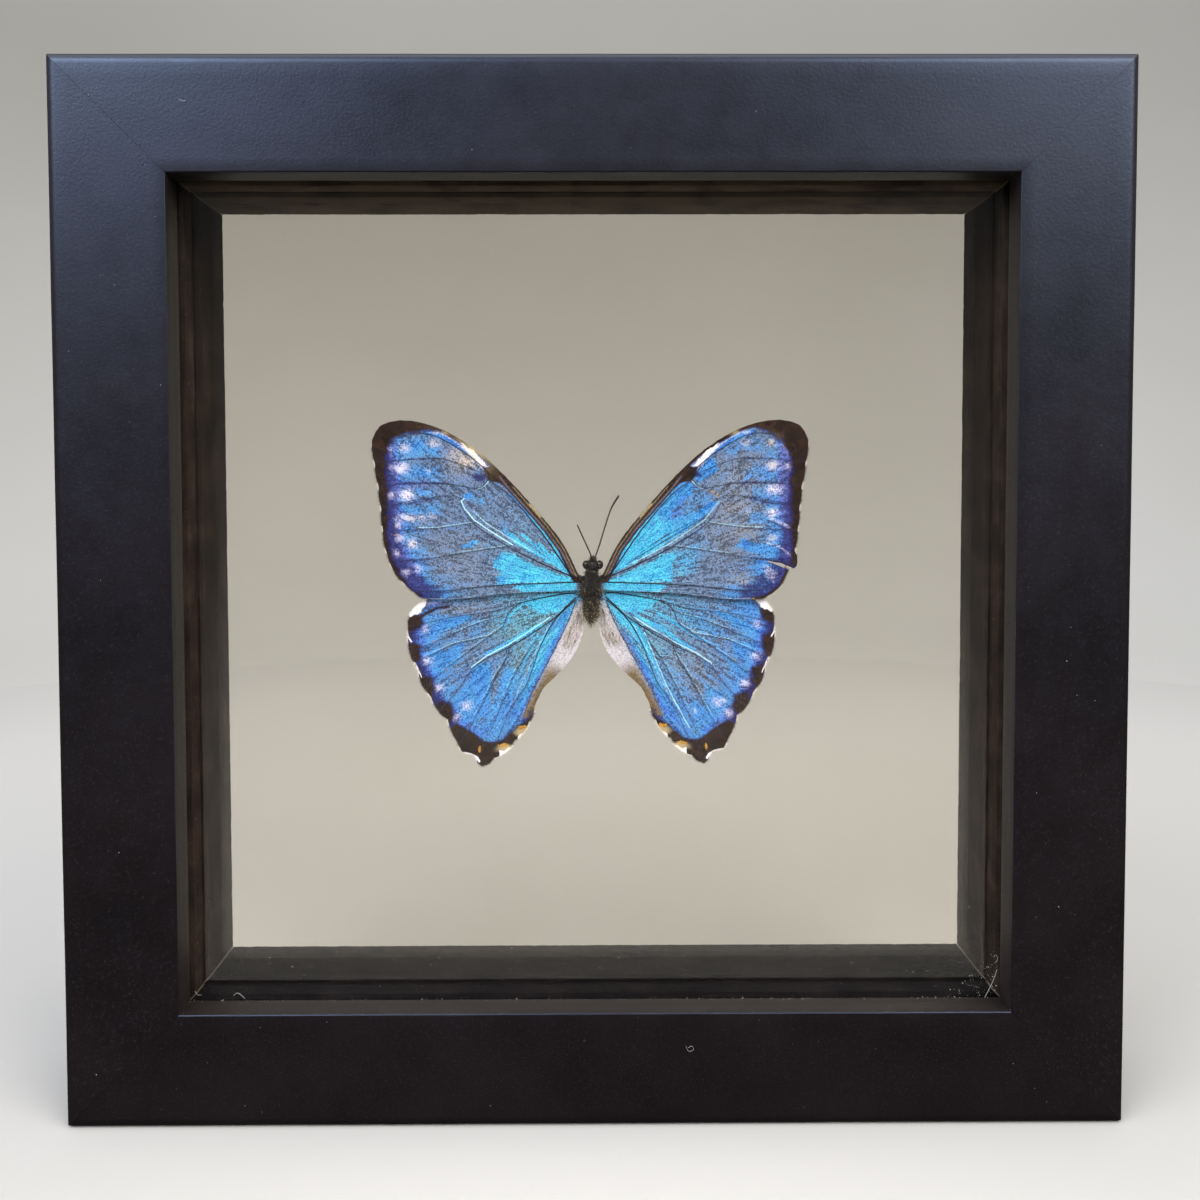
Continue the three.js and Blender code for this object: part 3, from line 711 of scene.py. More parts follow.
FOREWING_LEFT_MARKS = {
    "dark": [
        ("area", 1, 0, 1.0, [(31.9, 30.5), (34.8, 30.1), (37.4, 29.1), (38.9, 27.4), (39.3, 24), (39.2, 21),
         (39, 18), (38.9, 15.6), (38.9, 12.7), (39.1, 10.3), (38.6, 7.9), (37.9, 5.3), (36.4, 2.3),
         (34.1, -0.3), (32, -1.7), (31, -4), (46, -4), (46, 36), (28, 36), (28.5, 31.2)]),
    ],
    "bright": [
        ("line", 1, 0.26, 0.2, [(15.4, 18), (13.6, 16.4), (8.7, 10.6), (4, 4)]),
        ("area", 1, 0, 0.3, [(17.8, 12.2), (14.6, 10.4), (11, 7.8), (5, 3.6), (10, 6.1), (14.4, 8.6)]),
        ("line", 0.95, 0.28, 0.25, [(13.2, 10.6), (9.5, 7.3), (6.1, 4.3)]),
        ("line", 0.95, 0.3, 0.25, [(9.8, 8.6), (7, 5.6), (5, 3.5)]),
        ("area", 1, 0, 0.4, [(3, 2.6), (7.8, 7.8), (7, 5), (5.6, 3.4)]),
        ("area", 0.92, 0, 0.6, [(18.8, 5.3), (17.4, 6.9), (16.5, 7.1), (15, 6.8), (9.6, 4.1), (3.4, 2),
         (3.4, 1.3), (17.9, 0.9), (18.5, 2.3), (16.9, 3.4), (18.6, 4)]),
        ("glow", 0.9, (1.2, 0.7), 0, [(23.5, 18)]),
        ("glow", 0.6, (0.8, 0.8), 0, [(20.9, 16.7), (22, 17.3)]),
        ("glow", 1, (0.9, 0.5), 0, [(23.3, 8.4), (22.4, 9), (24.2, 8.2)]),
        ("area", 0.72, 0, 2, [(28.8, 25.2), (28.8, 28.6), (31.5, 29.8), (35.5, 28.7), (38.6, 26),
         (38.6, 25.2)]),
        ("area", 0.7, 0, 2, [(28.5, 20.9), (28.5, 23.9), (38.9, 24.2), (38.9, 20.7)]),
        ("area", 0.66, 0, 2, [(28.5, 14.2), (28.5, 16.5), (38.8, 16.8), (38.8, 13.2)]),
        ("area", 0.6, 0, 2, [(30, 17.4), (30, 19.6), (38.8, 19.8), (38.8, 17)]),
        ("area", 0.6, 0, 1.8, [(31, 6), (31, 8.4), (37.8, 10), (37.6, 5.8)], [(29, 1), (31, 4), (36.6, 4.6),
         (35.4, 2), (33.5, -0.4), (30, -1)]),
    ],
    "glint": [
        ("line", 1, 0.09, 0.09, [(15, 8.5), (19.4, 11.3), (22.3, 13.3), (24.2, 15.6), (24.8, 17),
         (24.2, 17.5)]),
        ("line", 0.85, 0.07, 0.09, [(11, 7.1), (16, 10.1), (20.3, 12.9), (22.4, 15)]),
    ],
    "hue": [
        ("area", 0.85, 0, 1.2, [(37, 29), (36.2, 20), (36, 10), (33, 4), (30, -1), (40, -4), (42, 30)]),
        ("area", 0.75, 0, 1, [(29, 19), (29, 21), (40, 21), (40, 19)]),
    ],
    "pale": [
        ("glow", 0.9, (1.3, 1), 0, [(35.6, 27.2)]),
        ("glow", 0.8, (1.6, 1.1), 0, [(30.1, 28.1)]),
        ("glow", 1.15, (1.6, 1.3), 0, [(36.2, 23.3)]),
        ("glow", 0.6, (0.9, 0.7), 0, [(31, 22.8), (38.2, 23.5), (38.3, 27)]),
        ("glow", 1.2, (1.6, 1.3), 0, [(35.3, 18.2)]),
        ("glow", 0.9, (0.9, 0.8), 0, [(38.3, 18.1)]),
        ("glow", 1.1, (2, 0.9), 0, [(35.2, 13.7)]),
        ("glow", 0.75, (1, 0.6), 0, [(30.3, 14.2), (32.4, 13.8)]),
        ("glow", 1.05, (1.1, 1.2), 0, [(34.3, 8.8)]),
        ("glow", 0.85, (0.8, 0.8), 0, [(37.2, 7.1), (36.9, 12.4)]),
        ("glow", 0.8, (1, 0.9), 0, [(33.2, 4), (35.6, 3.2), (36.6, 9.9)]),
        ("glow", 0.95, (2.1, 1.3), 0, [(23.6, 24.6)]),
        ("glow", 0.6, (2, 1.6), 0, [(25.6, 26.2)]),
    ],
    "cream": [
        ("glow", 1, (1.8, 1.5), 0, [(30.1, 28.1)]),
        ("glow", 0.6, (1.4, 1.2), 0, [(35.6, 27.2), (34.3, 8.8), (33.9, 13.2)]),
        ("glow", 1.2, (3.6, 2.8), 0, [(24.3, 25)]),
    ],
    "tone": [
        ("glow", 0.9, (4, 3), 0, [(24.3, 24.5)]),
        ("area", 0.35, 0, 2.5, [(19, 10), (28, 13), (34, 10), (33, 3), (22, 0.5)]),
    ],
    "dusk": [
        ("glow", 1.3, (1.5, 0.9), 0, [(21.2, 21.5)]),
    ],
    "orange": [
        ("glow", 0.6, (0.6, 0.2), 0, [(23.6, 19), (24.8, 18.8), (18.1, 2.9)]),
        ("glow", 0.5, (1.2, 0.25), 0, [(35.5, 10.8), (37.5, 10.6)]),
    ],
}
FOREWING_RIGHT_MARKS = {
    "dark": [
        ("area", 1, 0, 1.0, [(31.4, 31.2), (33.5, 30.5), (36.2, 28.9), (38, 26.8), (39.1, 23.5), (38.5, 21),
         (38.9, 18.6), (38.4, 16.2), (39, 13.9), (38.4, 11.5), (39, 8.8), (38.8, 6.5), (38.7, 4.8),
         (39.9, 3.5), (46, 3.5), (46, 36), (28, 36), (28.5, 31.3)]),
        ("line", 0.85, 0.3, 0.35, [(38, 3.6), (36.6, 0.6), (34, -1.4), (31.2, -2.1)]),
        ("line", 0.8, 0.25, 0.3, [(39.2, 3.9), (36.6, 4.9), (34.6, 5.2)]),
        ("line", 0.6, 0.09, 0.1, [(6.9, 4.7), (12.5, 8.2), (17.3, 11), (21.9, 13.7)]),
        ("line", 0.5, 0.08, 0.1, [(11, 7.9), (14.7, 10.3), (20.5, 13.3)]),
        ("line", 0.6, 0.07, 0.09, [(34, 13.2), (36.5, 12.1), (38.6, 11.1)], [(33.2, 2.1), (34.6, 0.4)]),
    ],
    "bright": [
        ("area", 1, 0, 0.4, [(3.2, 2.5), (9.2, 5.4), (15.4, 9.2), (21.8, 13.6), (24.9, 17.1), (22.8, 16.6),
         (20.6, 15.2), (18, 14.2), (16, 13.6), (15.8, 15), (17.4, 16.4), (19.3, 17.9), (20.3, 19.6),
         (19, 20.7), (17.3, 20.3), (14.8, 18), (8, 10), (4.4, 5.2)]),
        ("area", 0.45, 0, 0.5, [(19.5, 17.8), (20.7, 19.4), (24.1, 17.5), (19.7, 14.6), (15.9, 13.4),
         (15.4, 15.1)]),
        ("area", 0.92, 0, 0.8, [(3.4, 1.6), (9.6, 4.3), (14.2, 6.6), (16.6, 7), (15.8, 4), (15.6, 1.3),
         (3.4, 1.3)]),
        ("area", 0.5, 0, 1.6, [(16, 7), (21.5, 9.5), (20.5, 3), (16, 1.5)]),
        ("area", 0.9, 0, 0.5, [(19.9, 21.8), (22.6, 24.9), (23.8, 25.2), (24.6, 22.8), (22.2, 21),
         (20.5, 20.4)]),
        ("area", 0.8, 0, 0.8, [(27.9, 8.4), (29, 9.6), (33, 8.8), (36, 8.4), (37.5, 6), (33.5, 6.4),
         (29.5, 7.2)]),
        ("area", 0.6, 0, 1.8, [(30, 12.6), (30, 15), (38.5, 15.4), (38.5, 11)]),
        ("area", 0.85, 0, 0.5, [(35.6, 5), (35.6, 7.6), (39, 7.8), (39, 4.8)]),
        ("area", 1, 0, 0.3, [(31.8, 5.5), (33.4, 5.4), (36.7, 3.9), (37.2, 2.3), (35.7, 0.6), (34.3, 0),
         (32.7, 2.5)]),
        ("area", 0.5, 0, 1.2, [(29, 20.6), (30, 24), (34.5, 24.5), (38, 24.5), (38, 20.6)]),
        ("area", 0.5, 0, 1, [(31, 16.8), (31, 20), (38.6, 20.2), (38.6, 17)]),
        ("area", 0.4, 0, 1.2, [(24.5, 27.4), (30, 29.6), (35, 29), (33, 26), (26, 25.5)]),
    ],
    "hue": [
        ("area", 0.5, 0, 1.2, [(14, 12.5), (17, 18), (20, 19), (18, 14)]),
        ("area", 0.9, 0, 1, [(36, 30), (35.6, 20), (36.4, 12), (36.6, 8), (36, 4), (34, 0), (30, -1),
         (42, -4), (42, 30)]),
    ],
    "glint": [
        ("line", 0.5, 0.14, 0.12, [(8, 4.9), (15.4, 8.8), (21.8, 13.1), (24.7, 16.8)]),
    ],
    "pale": [
        ("glow", 1.1, (1.5, 1.1), 0, [(35, 23.8)]),
        ("glow", 0.7, (1, 0.9), 0, [(38, 23.6), (37.6, 27.5)]),
        ("glow", 1.2, (1.7, 1.1), 0, [(35.3, 19.2)]),
        ("glow", 0.9, (1, 0.8), 0, [(34.7, 28)]),
        ("glow", 0.65, (1.3, 0.9), 0, [(29.9, 28.1)]),
        ("glow", 0.5, (0.7, 0.7), 0, [(30.5, 23.5), (30.4, 14.8)]),
        ("glow", 1.15, (1.3, 0.9), 0, [(35, 14.6)]),
        ("line", 0.75, 0.3, 0.35, [(34.4, 13.6), (36.5, 12.8), (38.6, 11.6)]),
        ("line", 0.7, 0.25, 0.35, [(34, 8.8), (36.3, 8.1), (38.6, 6.4)]),
        ("glow", 0.8, (1.2, 0.8), 0, [(35, 9.8)]),
        ("area", 0.6, 0, 0.7, [(32.8, 4.6), (34.8, 4.2), (36.2, 2.8), (35.2, 1.2), (33.6, 2.2)]),
        ("glow", 0.6, (0.8, 0.5), 0, [(29.7, 1.3)]),
    ],
    "cream": [
        ("glow", 1.1, (1.3, 1.1), 0, [(34.7, 28), (29.9, 28.1), (35, 9.9), (29.7, 1.3), (30.5, 23.5)]),
        ("glow", 0.7, (0.9, 0.8), 0, [(34.8, 24), (30.4, 14.8)]),
    ],
    "tone": [
        ("area", 0.5, 0, 3, [(22, 12), (24, 24), (32, 27), (34, 20), (33, 8), (24, 5)]),
        ("glow", 1, (4, 1.6), 0, [(30, 11.2), (28, 15.5)]),
        ("glow", 1, (3, 1.6), 0, [(29.4, 1.7)]),
    ],
    "orange": [
        ("glow", 0.75, (0.5, 0.35), 0, [(24.4, 18.2), (23.4, 18.9)]),
    ],
    "dusk": [
        ("glow", 1.1, (1.2, 0.7), 0, [(20.6, 22)]),
    ],
}
HINDWING_MARKS = {
    "bright": [
        ("area", -0.25, 0, 2, [(15, -8), (30, -11), (27, -20), (20, -24)]),
        ("area", 0.95, 0, 0.9, [(3, -0.4), (3, -2), (6, -4.4), (9.5, -5), (12, -3.6), (13.5, -2.4), (9, -1)]),
    ],
    "pale": [
        ("area", 1.6, 0, 0.3, [(31.4, -1), (33, -1.4), (35.2, -3.8), (35.3, -5.2), (33.4, -4.6), (32, -3)]),
        ("area", 1.6, 0, 0.22, [(15, -30.2), (16.2, -30.8), (18.4, -31.4), (18.4, -32.8), (15, -31.8)],
         [(12.2, -26.4), (13.4, -27.8), (14.7, -28.3), (15, -30), (12.5, -28.4)]),
        ("line", 1.6, 0.34, 0.14, [(25, -31.7), (23.7, -32), (22.6, -32.6), (22.2, -33.3)]),
        ("line", 1, 0.2, 0.12, [(1.7, -5), (1.6, -8.3), (2.4, -11.5), (3.9, -14.9), (6.2, -16.8),
         (8.7, -19), (10.6, -22)]),
        ("glow", 0.7, (1, 1), 0, [(32, -7.4)]),
        ("glow", 0.95, (1.2, 1), 0, [(31.8, -13.6), (29.8, -18.9)]),
        ("glow", 0.85, (1.3, 1.1), 0, [(26.6, -24.6), (24.4, -22.4)]),
        ("line", 1.6, 0.22, 0.14, [(35.7, -7.6), (35.4, -9), (34.9, -9.8)]),
        ("line", 1.6, 0.18, 0.12, [(34.3, -13.8), (33.4, -15.8), (33, -16.8)]),
    ],
    "dark": [
        ("area", 1, 0, 0.45, [(26.6, -26), (24.2, -27.2), (22, -29), (19.8, -29.9), (17.6, -29.3),
         (15.8, -28), (14.6, -26.8), (11.9, -24.6), (10.6, -25), (14, -31), (18, -36), (26, -36),
         (28.5, -28)]),
        ("line", 0.9, 0.05, 0.07, [(21.7, -30), (22.2, -31.9)]),
        ("line", 0.9, 0.14, 0.16, [(8.6, -19.4), (10.3, -22), (11.2, -24.4)]),
    ],
    "orange": [
        ("spot", 1, (0.34, 0.85), 0.35, [(22, -31)]),
        ("spot", 1, (1.1, 0.3), 0.4, [(17.3, -30.3)]),
        ("spot", 1, (0.85, 0.42), 0.4, [(13.5, -26.9)]),
    ],
    "cream": [
        ("spot", 0.6, (1.8, 0.7), 0.5, [(16.9, -31), (13.4, -27.8)]),
        ("line", 1, 0.26, 0.14, [(1.7, -5), (1.6, -8.3), (2.4, -11.5), (3.9, -14.9), (6.2, -16.8),
         (8.7, -19), (10.6, -22), (11.2, -24)]),
    ],
    "fold": [
        ("area", 1, 0, 0.8, [(2.4, -2.6), (4.5, -6.5), (6.6, -11), (9.2, -16), (12, -21.2), (13.7, -24.8),
         (9, -26), (0, -20), (0, -2)]),
    ],
    "brown": [
        ("area", 1.15, 0.2, 2.6, [(7, -15.9), (8.6, -15.4), (10.6, -18.2), (13.2, -22.6), (14, -26),
         (9, -26), (3, -17.5)]),
        ("line", 0.8, 0.35, 0.4, [(5.2, -15.9), (6.4, -17), (8.9, -19.2), (10.8, -22.2), (11.3, -24.4)]),
    ],
    "hue": [
        ("area", 0.62, 0, 1.4, [(31.5, -5), (31.5, -13), (28.8, -19), (25, -24.4), (20, -28), (26, -32),
         (40, -20), (38, -4)]),
    ],
    # Painted shade: thin dark lines in the membrane's creases.
    "crease": [
        ("line", 0.8, 0.05, 0.07, [(8.2, -7.6), (11.4, -14), (15.4, -23), (17, -27)], [(9.2, -7.6),
         (12.6, -14.6), (16.6, -22.6), (18.4, -26.6)]),
        ("line", 0.6, 0.05, 0.07, [(7.2, -7.2), (10.4, -14.2), (13.6, -21.4), (15.6, -25.4)], [(10.6, -9),
         (13.6, -14), (16.6, -19.6)], [(14, -3.4), (20, -5.2), (26, -6.8), (31, -8)], [(18, -7.6),
         (23, -8.8), (29, -11.4)], [(21, -12.8), (25, -15), (29, -19)], [(18, -13.4), (21, -18.4),
         (24.4, -25)]),
        ("line", 0.7, 0.05, 0.07, [(6, -5.6), (8.6, -10.6), (11, -15.6), (14.4, -22.4)]),
    ],
    "glint": [
        ("line", 0.5, 0.07, 0.09, [(8.4, -7.4), (11.7, -14), (15.7, -22.8), (17.3, -26.6)], [(6.3, -5.6),
         (8.9, -10.6), (11.3, -15.6)], [(17.1, -4.9), (21.4, -6), (27, -8.2)], [(19.4, -8.5), (21.5, -9.8),
         (28.4, -14.8)]),
        ("line", 0.4, 0.07, 0.09, [(21.2, -12.5), (25.2, -14.7), (29.2, -18.6)]),
        ("line", 0.9, 0.09, 0.1, [(8, -5.5), (11, -7.5), (16, -10.6), (20.3, -12.8), (23.3, -14.9)]),
        ("line", 0.5, 0.08, 0.09, [(15.9, -11.8), (17.6, -14.4), (19.2, -17.1), (20.6, -19.8), (23, -24.4)]),
        ("line", 0.55, 0.08, 0.09, [(17.3, -7), (20, -8.7), (26.8, -10.2), (31, -12)]),
        ("line", 0.45, 0.07, 0.09, [(11, -9.4), (14.9, -15.4), (17.7, -21.4), (20, -26)], [(8, -7),
         (10.6, -11.4), (13.3, -18.4), (16.3, -22.8), (18.6, -27)]),
    ],
    "dusk": [
        ("line", 0.5, 0.2, 0.25, [(20.3, -13.6), (23.3, -15.9), (25.2, -18.6), (27.1, -21), (28.5, -22.4)]),
    ],
}
HINDWING_LEFT_MARKS = {
    "dark": [
        ("area", 1, 0, 0.95, [(32.8, -5), (36, -4.6), (36.4, -7.9), (34.6, -7.7), (33, -7)], [(33.3, -10.6),
         (36, -9.8), (36.6, -13.6), (34.3, -14.4), (33.2, -13)], [(31, -17), (33, -16.4), (34.6, -19),
         (31.8, -21.2), (30.8, -19.4)], [(27.5, -22), (29.8, -21.4), (31, -24), (28.2, -26.4), (27, -24.5)]),
        ("line", 0.7, 0.25, 0.3, [(33, -5), (30, -3.4), (27.6, -3.1)]),
    ],
    "bright": [
        ("area", 0.98, 0, 0.5, [(23.3, -4.6), (28, -5.4), (31.8, -7), (31.4, -9), (27, -7.4), (23.2, -5.6)]),
        ("area", 0.7, 0, 0.6, [(27, -2), (32, -1.9), (32.4, -3.6), (28, -3)]),
        ("area", 0.9, 0, 0.7, [(29.8, -11), (33, -12), (30.4, -15.8), (26, -12.4)]),
        ("area", 0.85, 0, 1, [(24.4, -9.7), (27.6, -11), (32, -16), (30.4, -18.4), (25.4, -13.5)]),
        ("line", 0.95, 0.5, 0.4, [(9.8, -7), (13, -8.7), (17, -10.9), (20.4, -12.4)]),
        ("area", 0.98, 0, 0.6, [(19.6, -14), (23.2, -14.6), (23.6, -19), (23.2, -24.6), (20.6, -25),
         (19.4, -19)]),
        ("area", 0.8, 0, 1, [(23, -16), (28.6, -23), (25.5, -27), (22, -26), (21, -22)]),
        ("area", 0.72, 0, 0.9, [(14.6, -15.5), (16.6, -15), (21, -25), (22.6, -28.4), (17, -27),
         (14.5, -20)]),
        ("area", 1, 0, 0.4, [(3.2, -2.6), (7.8, -6.6), (9.4, -9), (12.4, -16.4), (16.6, -27), (15, -26),
         (7.6, -12), (4, -5.4)]),
        ("line", 0.9, 0.22, 0.2, [(10.4, -8.7), (13.4, -15), (16, -21.5), (18.5, -27)]),
        ("line", 0.9, 0.28, 0.35, [(12.7, -2.4), (15.1, -4.5), (16.2, -6), (17, -7.4)]),
        ("area", -0.7, 0, 1, [(17, -2.6), (29, -3), (30, -4.4), (20, -4.6)]),
    ],
    "hue": [
        ("area", 0.75, 0, 0.6, [(27, -2), (32, -1.9), (32.4, -3.6), (28, -3)]),
        ("line", 0.6, 0.7, 1.0, [(5, -7.4), (8, -13.2), (10.8, -18.6), (14.4, -25.4)]),
        ("area", 0.3, 0, 0.5, [(3.2, -2.6), (7.8, -6.6), (8.6, -9), (5, -7)]),
    ],
    "pale": [
        ("area", 0.5, 0, 0.6, [(27, -2), (32, -1.9), (32.4, -3), (28, -2.6)]),
    ],
    "tone": [
        ("area", -0.8, 0, 2.6, [(9, -3), (16, -4.4), (20, -7), (18, -12), (13, -9), (8, -5.6)]),
        ("area", -0.7, 0, 2.4, [(10.5, -9), (15, -11.4), (18, -17), (15.4, -20), (12, -14)]),
        ("area", 0.5, 0, 1.5, [(20, -2.4), (33, -2.4), (33, -4.8), (21, -4.6)]),
    ],
    "dusk": [
        ("glow", 0.9, (0.7, 0.6), 0, [(20.6, -14.4), (31.4, -3.4)]),
    ],
    "orange": [
        ("glow", 0.6, (0.7, 0.2), 0, [(30.2, -9.9), (28.4, -15.4)]),
    ],
}
HINDWING_RIGHT_MARKS = {
    "dark": [
        ("area", 1, 0, 0.95, [(33, -4.2), (35.6, -3.6), (36.6, -7.4), (34.8, -7.2), (33.4, -6)],
         [(33.4, -9.6), (35.4, -8.8), (36.6, -12.6), (34.2, -13.6), (33.2, -11.8)], [(31.2, -16),
         (33.2, -15.2), (34.6, -18.4), (32, -20), (31, -18.2)], [(27.8, -21.2), (30.2, -20.4), (31, -23.4),
         (28.4, -25.4), (27.4, -23.6)]),
        ("line", 0.55, 0.1, 0.12, [(7.5, -4.9), (9.5, -7.4), (13, -8.9), (17.3, -11.6)]),
    ],
    "bright": [
        ("area", 1, 0, 0.4, [(23.4, -4.3), (28.4, -6), (33.8, -8.4), (33.6, -10), (30.4, -8.7), (27, -6.7),
         (23.4, -4.9)]),
        ("line", 0.8, 0.25, 0.25, [(25.7, -5.9), (29, -8.2), (33, -11)]),
        ("area", 0.8, 0, 0.7, [(27, -10.4), (33.6, -10.6), (32.6, -14.4), (31, -15.6), (27.4, -13)]),
        ("area", 0.72, 0, 0.8, [(25.5, -13.6), (31.4, -16.4), (31, -19.4), (28, -18.4)]),
        ("area", 1, 0, 0.35, [(3.4, -2.8), (7.4, -5.4), (10.3, -8.7), (11.4, -11.6), (13, -15.6),
         (13.7, -17.9), (12.4, -16.8), (10.2, -12.4), (8, -9), (5.2, -6.4)]),
        ("area", 1, 0, 0.3, [(7.6, -4.5), (13.5, -7.3), (19.5, -11.6), (20.6, -12.3), (18.6, -12),
         (13.2, -8.3), (8.4, -5.4)]),
        ("line", 0.95, 0.3, 0.3, [(13, -5), (15.6, -6.6), (18.8, -8.6)]),
        ("line", 0.9, 0.2, 0.22, [(19.3, -9.3), (24.1, -11.3), (26, -13.5), (28.9, -17.8)]),
        ("area", 0.85, 0, 0.6, [(6.6, -8.6), (8, -9.6), (12.6, -17.6), (16.6, -24.4), (19.4, -27.8),
         (14.8, -25.6), (9.8, -16)]),
        ("area", 0.8, 0, 0.8, [(21.7, -18.6), (25.6, -20.4), (26.4, -25.6), (22, -24)]),
        ("area", 0.72, 0, 0.9, [(18.8, -21), (24.6, -25), (25, -28), (21, -29.4), (19, -27)]),
        ("line", 0.9, 0.2, 0.2, [(21.9, -14.8), (22.8, -17), (23.4, -18)]),
        ("area", 0.5, 0, 1.4, [(16, -4), (22, -5), (27, -9), (24, -11), (18, -8)]),
    ],
    "hue": [
        ("line", 0.7, 0.6, 0.9, [(6, -8.6), (9.6, -15.4), (13.8, -23.4), (18.4, -28)]),
    ],
    "glint": [
        ("line", 0.8, 0.08, 0.09, [(10.3, -8.7), (14.4, -19), (18.8, -27.4)]),
    ],
    "pale": [
        ("glow", 0.8, (0.5, 0.5), 0, [(20, -24.1), (25.6, -22.2)]),
    ],
    "tone": [
        ("area", 0.45, 0, 2.5, [(12, -9.5), (22, -13), (24, -19), (20, -22), (15, -18)]),
    ],
}
MARKS = {
    ("forewing", "left"): (FOREWING_MARKS, FOREWING_LEFT_MARKS),
    ("forewing", "right"): (FOREWING_MARKS, FOREWING_RIGHT_MARKS),
    ("hindwing", "left"): (HINDWING_MARKS, HINDWING_LEFT_MARKS),
    ("hindwing", "right"): (HINDWING_MARKS, HINDWING_RIGHT_MARKS),
}
FIELDS = ("dark", "umber", "cream", "pale", "bright", "hue", "tone", "orange", "dusk", "glint", "crease",
          "fold", "brown", "vein")
# Eye spots of the underside: (x, z, radius).
UNDERSIDE_EYES = {
    "forewing": [(33.5, 22, 1.6), (31, 13.5, 2.2), (29.5, 8, 1.9)],
    "hindwing": [(26, -5.4, 3.0), (25.4, -14.8, 2.2), (22.6, -19.6, 2.4), (18.2, -24.2, 1.9)],
}


def covered(form, size, soft, shape, true_points, points):
    """How far a mark covers each point. Lines run true; the rest follow the shifted points, so they fray."""
    if form == "area":
        away = line_distance(points, np.vstack([shape, shape[:1]]))
        return 1 - rise(size - soft, size + soft, np.where(inside(points, shape), -away, away))
    if form == "line":
        return 1 - rise(size - soft, size + soft, line_distance(true_points, shape))
    cover = np.zeros(len(points))
    for centre in shape:
        away = np.hypot(*((points - centre) / size).T)
        faded = np.exp(-0.95 * away ** 2) if form == "glow" else 1 - rise(1 - soft, 1 + soft, away)
        cover = np.maximum(cover, faded)
    return cover


def paint(marks, true_points, points, fields):
    """Lays the marks over the fields, and where two meet, the stronger one counts."""
    for field, rows in marks.items():
        for form, amount, size, soft, *shapes in rows:
            for shape in shapes:
                cover = amount * covered(form, size, soft, np.array(shape, float), true_points, points)
                if amount > 0 or field == "tone":
                    fields[field] = np.where(np.abs(cover) > np.abs(fields[field]), cover, fields[field])
                else:
                    fields[field] = fields[field] * (1 + cover)


def wing_fields(points, pair, hand):
    """All marking fields of one wing, and each point's distance to the nearest vein."""
    shifted = points + 0.3 * np.stack([wander(points, 1.3, 4.1), wander(points, 1.3, 8.7)], 1)
    shifted += 0.2 * np.stack([wander(points, 0.5, 1.1), wander(points, 0.5, 5.7)], 1)
    rim = line_distance(shifted, OUTER_EDGES[pair])
    fields = {name: np.zeros(len(points)) for name in FIELDS}
    fields["hue"] = 0.08 + 0.3 * rise(13, 30, np.hypot(points[:, 0], points[:, 1]))
    if pair == "forewing":
        fields["bright"] = 0.17 + 0.4 * rise(9.5, 4, rim)
        fields["dusk"] = 0.9 * rise(5, 1.8, rim)
    else:
        fields["bright"] = 0.34 + 0.28 * rise(10, 3, rim)
        fields["dusk"] = 0.95 * rise(3.4, 0.7, rim)
        fields["dark"] = 0.4 * rise(1.7, 0.3, rim)
    for marks in MARKS[pair, hand]:
        paint(marks, points, shifted, fields)
    near_vein = np.full(len(points), 9.0)
    for start, end, path in VEINS[pair]:
        near_vein = np.minimum(near_vein, line_distance(points, np.array(smooth_path(path, 24))))
    fields["vein"] = 1 - rise(0.06, 0.24, near_vein)
    return fields, near_vein


def buckled(points):
    """How far the membrane has buckled as it dried, nowhere near the root."""
    sag = 0.05 * wander(points, 3.1, 12.5) + 0.025 * wander(points, 1.1, 5.5)
    return sag * rise(3, 8, np.hypot(*points.T))


def wing_place(points, pair, hand, offset):
    """Wing points as places around the thorax, the tips lifted forward."""
    lean = WING_LEAN[pair]
    lift = TIP_LIFT * (np.hypot(points[:, 0], points[:, 1]) / WING_REACH) ** 2
    x = -points[:, 0] if hand == "left" else points[:, 0]
    return np.stack([x * math.cos(lean) + points[:, 1] * math.sin(lean),
                     WING_Y[pair] - lift + offset,
                     points[:, 1] * math.cos(lean) - x * math.sin(lean)], 1)


# Morpho scales over a dry membrane. Ridges in the intact scales give a cyan to violet blue with a
# satin gloss, rows of scales give a fine streaky grain, and worn places show the slate ground.
# The grain is drawn coarser than real scales, which are 0.1 mm wide and too fine to be seen.
morpho_scales, tree, shader = new_material("morpho_wing_scales")
STREAK_WIDTH = 0.42
SPECK_SIZE = 0.5
DUSTING_SIZE = 0.27
PATCH_SIZE = 2.6
SMOOTH = {"interpolation_type": "SMOOTHSTEP"}
seen = {name: add(tree, "ShaderNodeAttribute", {"attribute_name": name}).outputs["Fac"] for name in FIELDS}
where = add(tree, "ShaderNodeTexCoord").outputs["Object"]
fan = add(tree, "ShaderNodeUVMap", {"uv_map": "fan"})
streaks_at = add(tree, "ShaderNodeVectorMath", {"operation": "MULTIPLY"},
                 {0: fan, 1: (1 / STREAK_WIDTH, 0.2, 1.0)})
seen["patches"] = add(tree, "ShaderNodeTexNoise", inputs={
    "Vector": where, "Scale": 1 / (PATCH_SIZE * MM), "Detail": 3.0, "Roughness": 0.6})
for name, at, scale, detail, rough, distortion, low, high in (
        ("speck", where, 1 / (SPECK_SIZE * MM), 1.5, 0.6, 0.0, 0.3, 0.7),
        ("fleck", where, 1 / (DUSTING_SIZE * MM), 1.0, 0.5, 0.0, 0.28, 0.72),
        ("streak", streaks_at, 1.0, 2.5, 0.6, 0.12, 0.32, 0.68)):
    texture = add(tree, "ShaderNodeTexNoise", inputs={
        "Vector": at, "Scale": scale, "Detail": detail, "Roughness": rough, "Distortion": distortion})
    seen[name] = add(tree, "ShaderNodeMapRange", SMOOTH, {0: texture, 1: low, 2: high})

